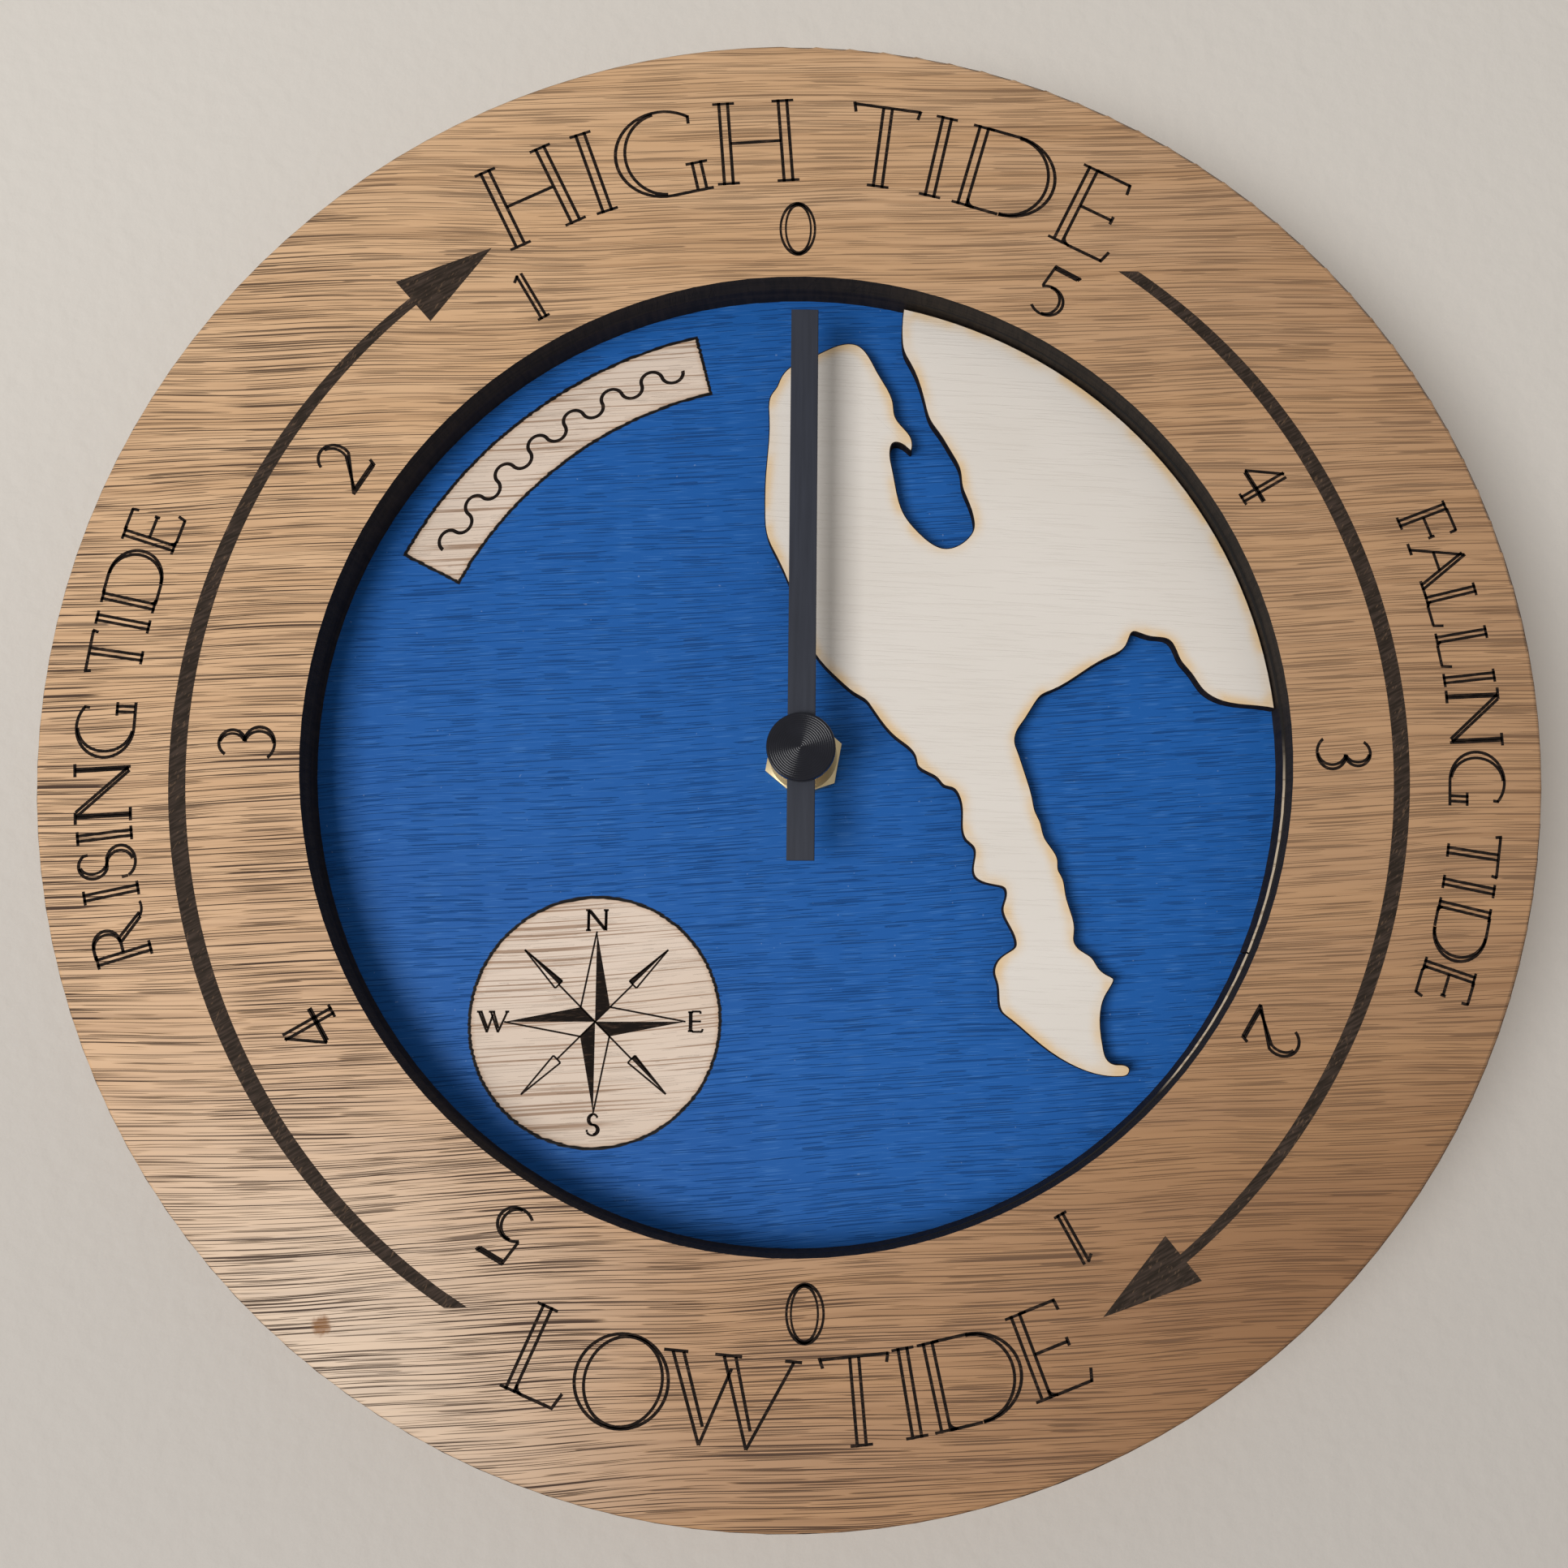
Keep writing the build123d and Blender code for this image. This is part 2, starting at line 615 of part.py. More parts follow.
# Rotor of the stepping motor: pinion and arbor, with a magnet ring on the arbor
with BuildPart() as rotor_pinion:
    rotor_back = step_level - pinion_overlap
    rotor_pinion_length = wheel_thickness + 2 * pinion_overlap
    toothed(
        rotor_back,
        rotor_place,
        rotor_pinion_teeth,
        step_module,
        rotor_pinion_length,
        meshed(0, step_teeth, rotor_pinion_teeth, rotor_angle),
    )
    rotor_front = rotor_back + rotor_pinion_length
    round_bar(rear_pivot_end, rotor_place, arbor_radius, rotor_back - rear_pivot_end)
    round_bar(rotor_front, rotor_place, arbor_radius, front_pivot_end - end_gap - rotor_front)
finish(rotor_pinion, "rotor_pinion")

with BuildPart() as rotor_magnet:
    with BuildSketch(layer(magnet_level, rotor_place)):
        Circle(magnet_diameter / 2)
        Circle(arbor_radius + press_gap, mode=Mode.SUBTRACT)
    extrude(amount=magnet_thickness)
finish(rotor_magnet, "rotor_magnet")

# Stator: iron plate round the rotor, with two arms up to the coil's core
bobbin_flange_diameter = case_size * bobbin_flange_share
coil_up = recess_half - ledge_width - coil_clearance - bobbin_flange_diameter / 2
arm_height = coil_up - rotor_place[1] + stator_half_height + core_width / 2
with BuildPart() as stator:
    with BuildSketch(layer(stator_level, rotor_place)):
        Rectangle(2 * stator_half_width, 2 * stator_half_height)
        for side in (-1, 1):
            arm_across = side * (stator_half_width - stator_arm_width / 2)
            with Locations((arm_across, arm_height / 2 - stator_half_height)):
                Rectangle(stator_arm_width, arm_height)
        Circle(magnet_diameter / 2 + stator_clearance, mode=Mode.SUBTRACT)
    extrude(amount=stator_thickness)
finish(stator, "stator")

# Coil: iron core across the stator's arms, moulded bobbin and winding round it
core_back = stator_level + stator_thickness
core_middle = core_back + core_thickness / 2
bobbin_half = stator_half_width - stator_arm_width - bobbin_end_gap
with BuildPart() as coil_core:
    with BuildSketch(layer(core_back, (rotor_place[0], coil_up))):
        Rectangle(2 * stator_half_width, core_width)
    extrude(amount=core_thickness)
finish(coil_core, "coil_core")

coil_plane = Plane(
    origin=(rotor_place[0] - bobbin_half, -core_middle, coil_up - shaft_drop),
    x_dir=(0, -1, 0),
    z_dir=(1, 0, 0),
)
bobbin_tube_thickness = core_thickness + 2 * press_gap + 2 * bobbin_wall
bobbin_tube_width = core_width + 2 * press_gap + 2 * bobbin_wall
with BuildPart() as coil_bobbin:
    with BuildSketch(coil_plane):
        Rectangle(bobbin_tube_thickness, bobbin_tube_width)
    extrude(amount=2 * bobbin_half)
    with BuildSketch(coil_plane, coil_plane.offset(2 * bobbin_half - bobbin_flange_thickness)):
        Circle(bobbin_flange_diameter / 2)
    extrude(amount=bobbin_flange_thickness)
    with BuildSketch(coil_plane):
        Rectangle(core_thickness + 2 * press_gap, core_width + 2 * press_gap)
    extrude(amount=2 * bobbin_half, mode=Mode.SUBTRACT)
finish(coil_bobbin, "coil_bobbin")

with BuildPart() as coil_winding:
    with BuildSketch(coil_plane.offset(bobbin_flange_thickness)):
        Circle(bobbin_flange_diameter / 2 - winding_inset)
        Rectangle(bobbin_tube_thickness, bobbin_tube_width, mode=Mode.SUBTRACT)
    extrude(amount=2 * (bobbin_half - bobbin_flange_thickness))
finish(coil_winding, "coil_winding")

# Circuit board on two posts, with a potted chip, and the crystal lying on it
with BuildPart() as circuit_board:
    with BuildSketch(layer(circuit_level, circuit_place)):
        Rectangle(circuit_width, circuit_height)
    extrude(amount=circuit_thickness)
    chip_place = (
        circuit_place[0] + circuit_width * chip_place_shares[0],
        circuit_place[1] + circuit_height * chip_place_shares[1],
    )
    round_bar(circuit_level - chip_height, chip_place, chip_radius, chip_height)
    chip_edge = circuit_board.edges().filter_by(GeomType.CIRCLE).sort_by(Axis.Y)[-1]
    fillet(chip_edge, radius=chip_height * chip_round_share)
finish(circuit_board, "circuit_board")

crystal_across = circuit_place[0] + circuit_width * crystal_place_shares[0]
crystal_up = circuit_place[1] + circuit_height * crystal_place_shares[1]
crystal_plane = Plane(
    origin=(
        crystal_across - crystal_length / 2,
        crystal_diameter / 2 + crystal_gap - circuit_level,
        crystal_up - shaft_drop,
    ),
    x_dir=(0, -1, 0),
    z_dir=(1, 0, 0),
)
with BuildPart() as quartz_crystal:
    with BuildSketch(crystal_plane):
        Circle(crystal_diameter / 2)
    extrude(amount=crystal_length)
finish(quartz_crystal, "quartz_crystal")

# Battery cell lying across the bay, its nub against the right-hand strip
nub_end = recess_half - strip_room - press_gap
cell_start = nub_end - nub_length - cell_length
cell_plane = Plane(
    origin=(cell_start, -cell_depth, cell_place[1] - shaft_drop),
    x_dir=(0, -1, 0),
    z_dir=(1, 0, 0),
)
with BuildPart() as battery_cell:
    with BuildSketch(cell_plane):
        Circle(cell_diameter / 2)
    extrude(amount=cell_length)
    fillet(battery_cell.edges().filter_by(GeomType.CIRCLE), radius=cell_edge_round)
    with BuildSketch(cell_plane.offset(cell_length)):
        Circle(nub_diameter / 2)
    extrude(amount=nub_length)
finish(battery_cell, "battery_cell")

# Contact strips: bent from thin sheet, from the bay's ends up to the circuit board
strip_outer = recess_half - strip_gap - strip_thickness / 2
strip_low = cell_place[1] - cell_diameter / 2 + strip_thickness
strip_turn = bay_top - strip_thickness - strip_gap
strip_run = partition_height + ledge_width + strip_gap + strip_thickness / 2
strip_end = circuit_place[1] - circuit_height / 2 + circuit_height * strip_foot_share
with BuildPart() as contact_positive:
    with BuildSketch(layer(strip_level)):
        with BuildLine():
            Polyline(
                (strip_outer, strip_low),
                (strip_outer, strip_turn - ledge_width),
                (strip_across, strip_turn),
                (strip_across, strip_run),
                (strip_pitch - strip_across, strip_run),
                (strip_pitch - strip_across, strip_end),
            )
        trace(line_width=strip_thickness)
    extrude(amount=strip_width)
finish(contact_positive, "contact_positive")

with BuildPart() as contact_negative:
    with BuildSketch(layer(strip_level)):
        with BuildLine():
            Polyline(
                (-strip_outer, strip_low),
                (cell_start - press_gap - strip_thickness / 2, cell_place[1]),
                (-strip_across, strip_turn),
                (-strip_across, strip_end),
            )
        trace(line_width=strip_thickness)
    extrude(amount=strip_width)
finish(contact_negative, "contact_negative")

# Hand: flat bar with square ends and a round hub under the cap
hand_length = opening_radius - hand_tip_gap
with BuildPart() as tide_hand:
    with BuildSketch(layer(hand_back)):
        with Locations((0, (hand_length - hand_tail) / 2)):
            Rectangle(hand_width, hand_length + hand_tail)
        Circle(hub_diameter / 2)
        Circle(collet_diameter / 2 + press_gap, mode=Mode.SUBTRACT)
    extrude(amount=hand_thickness)
    front_outline = tide_hand.faces().sort_by(Axis.Y)[0].outer_wire()
    fillet(front_outline.edges(), radius=hand_edge_round)
finish(tide_hand, "tide_hand")

# Collet: brass, riveted in the hand and pressed on the tide tube
with BuildPart() as hand_collet:
    round_bar(hand_back - collet_length, (0, 0), collet_diameter / 2, collet_length + hand_thickness)
    round_bar(hand_back - collet_flange_thickness, (0, 0), collet_flange / 2, collet_flange_thickness)
    round_bar(
        hand_back - collet_length,
        (0, 0),
        tube_diameter / 2 + press_gap,
        collet_length + hand_thickness,
        Mode.SUBTRACT,
    )
finish(hand_collet, "hand_collet")

# Cap: flat disc over the hand's centre, its spigot pressed in the collet
with BuildPart() as hand_cap:
    round_bar(hand_front, (0, 0), cap_diameter / 2, cap_thickness)
    cap_edge = hand_cap.edges().filter_by(GeomType.CIRCLE).sort_by(Axis.Y)[0]
    fillet(cap_edge, radius=cap_edge_round)
    round_bar(hand_front - cap_spigot_length, (0, 0), tube_diameter / 2, cap_spigot_length)
finish(hand_cap, "hand_cap")
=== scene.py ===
from math import copysign, cos, pi, radians, sin

import bmesh
import bpy
from mathutils import Matrix, Vector


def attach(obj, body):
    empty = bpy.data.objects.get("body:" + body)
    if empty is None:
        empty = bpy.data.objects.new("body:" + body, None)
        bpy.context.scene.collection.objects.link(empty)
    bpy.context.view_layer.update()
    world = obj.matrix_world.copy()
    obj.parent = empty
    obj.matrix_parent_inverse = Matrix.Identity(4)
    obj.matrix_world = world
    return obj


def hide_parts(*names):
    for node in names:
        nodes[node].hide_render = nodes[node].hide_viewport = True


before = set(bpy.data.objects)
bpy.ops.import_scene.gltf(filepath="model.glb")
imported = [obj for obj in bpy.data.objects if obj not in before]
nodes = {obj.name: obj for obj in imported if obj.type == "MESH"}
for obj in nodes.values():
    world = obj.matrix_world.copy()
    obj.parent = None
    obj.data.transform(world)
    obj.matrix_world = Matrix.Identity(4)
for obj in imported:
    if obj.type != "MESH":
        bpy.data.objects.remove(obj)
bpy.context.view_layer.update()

# Wall: the pale painted plaster that the clock hangs on, felt-rough from the roller. It is the stage: clear
# from behind, and it lets light through to the clock's back, so that the movement can be looked at.
shaft = Vector((0, 0, -0.035))
wall_half = 1.2
wall_gap = 0.0004
shade_heights = (0.09, -0.17)
roller_depth = 0.0006


def tone(code):
    """A colour written as six hex digits, as the shader's linear values."""
    parts = [int(code[i:i + 2], 16) / 255 for i in (0, 2, 4)]
    return [p / 12.92 if p <= 0.04045 else ((p + 0.055) / 1.055) ** 2.4 for p in parts] + [1.0]


def new_finish(name, roughness, metallic=0.0, sheen=0.5):
    """A material with its shader ready; returns the material, its node tree and the shader."""
    finish = bpy.data.materials.new(name)
    finish.use_nodes = True
    shader = finish.node_tree.nodes["Principled BSDF"]
    shader.inputs["Roughness"].default_value = roughness
    shader.inputs["Metallic"].default_value = metallic
    shader.inputs["Specular IOR Level"].default_value = sheen
    return finish, finish.node_tree, shader


def add(tree, kind, inputs, out=0, **settings):
    """Adds a node, sets or links its inputs, and returns one of its outputs."""
    made = tree.nodes.new(kind)
    for key, value in settings.items():
        setattr(made, key, value)
    for key, value in inputs.items():
        if isinstance(value, bpy.types.NodeSocket):
            tree.links.new(value, made.inputs[key])
        else:
            made.inputs[key].default_value = value
    return made.outputs[out]


def math(tree, operation, first, second=0.0, third=0.0):
    return add(tree, "ShaderNodeMath", {0: first, 1: second, 2: third}, operation=operation)


def between(tree, value, low, high, at_low=0.0, at_high=1.0):
    """A smooth change from one value to another as the input goes from low to high."""
    inputs = {"Value": value, "From Min": low, "From Max": high, "To Min": at_low, "To Max": at_high}
    return add(tree, "ShaderNodeMapRange", inputs, interpolation_type="SMOOTHSTEP")


def mixed(tree, share, first, second):
    return add(tree, "ShaderNodeMix", {0: share, 6: first, 7: second}, out=2, data_type="RGBA")


def speckle(tree, sizes, slope=0.0, detail=2.0, shift=0.0, bend=0.0):
    """Noise with spots of these sizes in metres along X, Y and Z, tilted and bent in the dial's plane."""
    place = add(tree, "ShaderNodeTexCoord", {}, out="Object")
    if bend:
        waves = math(tree, "SUBTRACT", speckle(tree, (0.06, 0.06, 0.03), detail=1.0), 0.5)
        sideways = add(tree, "ShaderNodeCombineXYZ", {2: math(tree, "MULTIPLY", waves, bend)})
        place = add(tree, "ShaderNodeVectorMath", {0: place, 1: sideways}, operation="ADD")
    inputs = {"Vector": place, "Location": (shift, 0, shift), "Rotation": (0, -slope, 0), "Scale": sizes}
    stretched = add(tree, "ShaderNodeMapping", inputs, vector_type="TEXTURE")
    return add(tree, "ShaderNodeTexNoise", {"Vector": stretched, "Scale": 1.0, "Detail": detail})


def bumped(tree, shader, height, depth, strength=1.0):
    inputs = {"Height": height, "Distance": depth, "Strength": strength}
    tree.links.new(add(tree, "ShaderNodeBump", inputs), shader.inputs["Normal"])


def piece(name, bm, finish, body):
    """Makes a flat-shaded object of a mesh, with its finish and the body that it moves with."""
    mesh = bpy.data.meshes.new(name)
    bm.to_mesh(mesh)
    bm.free()
    mesh.materials.append(finish)
    mesh.polygons.foreach_set("use_smooth", [False] * len(mesh.polygons))
    made = bpy.data.objects.new(name, mesh)
    bpy.context.scene.collection.objects.link(made)
    if body:
        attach(made, body)
    return made


plaster, tree, shader = new_finish("painted_plaster", 0.85, sheen=0.2)
roller = speckle(tree, (0.004, 0.004, 0.004), detail=4.0)
place = add(tree, "ShaderNodeTexCoord", {}, out="Object")
# painted shade: the plaster is painted darker towards the bottom, where less light reaches the wall
lower = between(tree, add(tree, "ShaderNodeSeparateXYZ", {0: place}, out=2), *shade_heights)
tree.links.new(mixed(tree, lower, tone("d4cec6"), tone("c1bbb4")), shader.inputs["Base Color"])
bumped(tree, shader, roller, roller_depth, 0.5)
behind = add(tree, "ShaderNodeNewGeometry", {}, out="Backfacing")
for light_ray in ("Is Shadow Ray", "Is Diffuse Ray", "Is Glossy Ray"):
    behind = math(tree, "MAXIMUM", behind, add(tree, "ShaderNodeLightPath", {}, out=light_ray))
clear = add(tree, "ShaderNodeBsdfTransparent", {})
seen = add(tree, "ShaderNodeMixShader", {0: behind, 1: shader.outputs[0], 2: clear})
tree.links.new(seen, tree.nodes["Material Output"].inputs["Surface"])
bm = bmesh.new()
bmesh.ops.create_grid(bm, x_segments=1, y_segments=1, size=wall_half)
bmesh.ops.rotate(bm, verts=bm.verts, cent=(0, 0, 0), matrix=Matrix.Rotation(pi / 2, 3, "X"))
bmesh.ops.translate(bm, verts=bm.verts, vec=shaft + Vector((0, wall_gap, 0)))
piece("wall", bm, plaster, None)

# Back board: thin veneered board, painted a satin blue that lets the open pores show, and glued behind the
# rings. Two fields were masked off and stay bare veneer, a disc for the compass and a curved plate; both are
# outlined by burning. Its rear is left bare.
grain_slope = radians(3.5)
rose_middle = shaft + Vector((-0.0348, 0, -0.0450))
rose_field = 0.0210
plate_radii = (0.0674, 0.0780)
plate_angles = (radians(104.6), radians(153.0))
burned_line = 0.00028
ragged_reach = 0.0006
field_scorch = 0.0012


def dial_place(tree):
    """Where a point lies on the dial: across and up from the shaft, its distance from it and its angle."""
    place = add(tree, "ShaderNodeTexCoord", {}, out="Object")
    from_shaft = add(tree, "ShaderNodeVectorMath", {0: place, 1: shaft}, operation="SUBTRACT")
    across = add(tree, "ShaderNodeSeparateXYZ", {0: from_shaft}, out=0)
    up = add(tree, "ShaderNodeSeparateXYZ", {0: from_shaft}, out=2)
    flat = add(tree, "ShaderNodeCombineXYZ", {0: across, 2: up})
    radius = add(tree, "ShaderNodeVectorMath", {0: flat}, out=1, operation="LENGTH")
    return across, up, radius, math(tree, "ARCTAN2", up, across)


def flat_side(tree, on_edge=0.0, on_face=1.0):
    """One value on the cut edges of a sheet and another on its flat sides."""
    normal = add(tree, "ShaderNodeNewGeometry", {}, out="Normal")
    facing = math(tree, "ABSOLUTE", add(tree, "ShaderNodeSeparateXYZ", {0: normal}, out=1))
    return between(tree, facing, 0.2, 0.4, on_edge, on_face)


def cut_edges(tree, face, edge):
    """The face's colour on the flat sides of a sheet, and the cut edge's colour on its rim."""
    return mixed(tree, flat_side(tree), edge, face)


def burned_edge(tree, brown, black):
    """Laser-cut plies: brown and black bands through the thickness, in streaks along the cut."""
    bands = speckle(tree, (0.03, 0.0009, 0.03), detail=3.0)
    streaks = speckle(tree, (0.0008, 0.006, 0.0008), shift=0.1)
    shade = math(tree, "MULTIPLY_ADD", streaks, 0.5, math(tree, "MULTIPLY", bands, 0.6))
    return mixed(tree, between(tree, shade, 0.4, 0.7), tone(black), tone(brown))


def put_on(finish, *names):
    for name in names:
        nodes[name].data.materials.clear()
        nodes[name].data.materials.append(finish)


painted, tree, shader = new_finish("blue_board", 0.5, sheen=0.12)
pores = between(tree, speckle(tree, (0.008, 0.01, 0.00018), grain_slope, 0.0, bend=0.003), 0.335, 0.305)
long_pores = between(tree, speckle(tree, (0.022, 0.01, 0.00020), grain_slope, 0.0, 0.2, 0.003), 0.335, 0.30)
# painted highlight: pale streaks along the grain stand in for light catching the edges of the pores
brushing_and_painted_highlight = between(tree, speckle(tree, (0.005, 0.01, 0.00016), grain_slope, 0.0, 0.7, 0.003), 0.60, 0.70)
grain = math(tree, "MAXIMUM", pores, long_pores)
veins = between(tree, speckle(tree, (0.040, 0.01, 0.00036), grain_slope, 0.0, 0.5, 0.003), 0.43, 0.31)
clouds = speckle(tree, (0.06, 0.02, 0.02), grain_slope)
dust = between(tree, speckle(tree, (0.0007, 0.0007, 0.0007), 0.0, 1.0), 0.79, 0.82)
blue = mixed(tree, clouds, tone("18539a"), tone("1f5ea8"))
blue = mixed(tree, math(tree, "MULTIPLY", brushing_and_painted_highlight, 0.3), blue, tone("4a80c2"))
blue = mixed(tree, math(tree, "MULTIPLY", grain, 0.48), blue, tone("0c2a57"))
blue = mixed(tree, math(tree, "MULTIPLY", dust, 0.25), blue, tone("9db4d0"))
bare = mixed(tree, clouds, tone("d5bfab"), tone("e1d0c1"))
bare = mixed(tree, math(tree, "MULTIPLY", veins, 0.7), bare, tone("8a664a"))

# the fields' edges wander a little along the grain, as a burned line does
wander = math(tree, "SUBTRACT", speckle(tree, (0.004, 0.01, 0.0005), grain_slope), 0.5)
ragged = math(tree, "MULTIPLY", wander, ragged_reach)
across, up, radius, angle = dial_place(tree)
flat = add(tree, "ShaderNodeCombineXYZ", {0: across, 2: up})
rose_ends = {0: flat, 1: rose_middle - shaft}
rose_distance = add(tree, "ShaderNodeVectorMath", rose_ends, out=1, operation="DISTANCE")
rose_edge = math(tree, "SUBTRACT", math(tree, "ADD", rose_distance, ragged), rose_field)
plate_middle = sum(plate_radii) / 2
plate_rise = math(tree, "ABSOLUTE", math(tree, "SUBTRACT", radius, plate_middle))
plate_rise = math(tree, "SUBTRACT", plate_rise, (plate_radii[1] - plate_radii[0]) / 2)
plate_run = math(tree, "ABSOLUTE", math(tree, "SUBTRACT", angle, sum(plate_angles) / 2))
plate_run = math(tree, "SUBTRACT", plate_run, (plate_angles[1] - plate_angles[0]) / 2)
plate_run = math(tree, "MULTIPLY", plate_run, plate_middle)
plate_edge = math(tree, "ADD", math(tree, "MAXIMUM", plate_rise, plate_run), ragged)
field_edge = math(tree, "MINIMUM", rose_edge, plate_edge)
inside = between(tree, field_edge, 0.0001, -0.0001)
from_edge = math(tree, "ABSOLUTE", field_edge)
outline = between(tree, from_edge, burned_line * 1.3, burned_line * 0.7)
scorch = between(tree, from_edge, field_scorch, 0.0, 0.0, 0.35)
bare = mixed(tree, scorch, bare, tone("a0703f"))
board_face = mixed(tree, inside, blue, bare)
board_face = mixed(tree, outline, board_face, tone("15110f"))
normal = add(tree, "ShaderNodeNewGeometry", {}, out="Normal")
towards_wall = between(tree, add(tree, "ShaderNodeSeparateXYZ", {0: normal}, out=1), 0.3, 0.7)
back_veneer = mixed(tree, clouds, tone("a98765"), tone("b99775"))
rear_grain = math(tree, "MULTIPLY", math(tree, "MAXIMUM", veins, grain), 0.5)
back_veneer = mixed(tree, rear_grain, back_veneer, tone("6b4c35"))
board_face = mixed(tree, towards_wall, board_face, back_veneer)
board_edge = burned_edge(tree, "6b4a30", "2a1d15")
tree.links.new(cut_edges(tree, board_face, board_edge), shader.inputs["Base Color"])
rough = math(tree, "MULTIPLY_ADD", grain, 0.2, math(tree, "MULTIPLY_ADD", inside, 0.15, 0.48))
tree.links.new(flat_side(tree, 0.9, rough), shader.inputs["Roughness"])
bumped(tree, shader, math(tree, "MULTIPLY", grain, -1.0), 0.00008, 0.8)
put_on(painted, "back_board")

# Compass rose: burned into the bare disc with a laser. It is a four-pointed star, each point black on one
# side and outlined on the other, with thin diagonals that end in darts, and the letters of the four winds.
board_front = -0.0205
burn_height = 0.00006
star_tip = 0.0152
star_notch = 0.00245
dart_tip = 0.0171
dart_base = 0.0088
dart_half = 0.00085
fine_line = 0.00030
wind_height = 0.0035
wind_distance = 0.0171
east_inset = -0.3


def bar(bm, start, end, line):
    """One straight stroke, as wide as the line, in the plane of the lettering."""
    start, end = Vector(start), Vector(end)
    side = (end - start).normalized().orthogonal() * line / 2
    pair = [bm.verts.new((p.x, p.y, 0)) for p in (start - side, start + side)]
    edge = bm.edges.new(pair)
    pushed = bmesh.ops.extrude_edge_only(bm, edges=[edge])["geom"]
    ends = [v for v in pushed if isinstance(v, bmesh.types.BMVert)]
    bmesh.ops.translate(bm, verts=ends, vec=(end - start).to_3d())
    return pair + ends


# a bow turns by this much from one step of its spin to the next, in radians
bow_step = 0.13


def bow(bm, middle, radii, first, last, line, steps=0):
    """One curved stroke: a short edge spun round and then drawn out to an ellipse."""
    half = line / sum(radii)
    turn = Matrix.Rotation(radians(first), 3, "Z")
    pair = [bm.verts.new(turn @ Vector((r, 0, 0))) for r in (1 - half, 1 + half)]
    edge = bm.edges.new(pair)
    sweep = radians(last - first)
    steps = steps or max(3, int(abs(sweep) / bow_step))
    bmesh.ops.spin(bm, geom=pair + [edge], cent=(0, 0, 0), axis=(0, 0, 1), dvec=(0, 0, 0), angle=sweep,
                   steps=steps, use_duplicate=False, use_merge=False)
    bm.verts.index_update()
    swept = [v for v in bm.verts if v.index >= pair[0].index]
    bmesh.ops.scale(bm, verts=swept, vec=(radii[0], radii[1], 1))
    bmesh.ops.translate(bm, verts=swept, vec=(middle[0], middle[1], 0))
    return swept


def patch(bm, corners):
    """One filled shape with straight sides."""
    bm.faces.new([bm.verts.new((c[0], c[1], 0)) for c in corners])


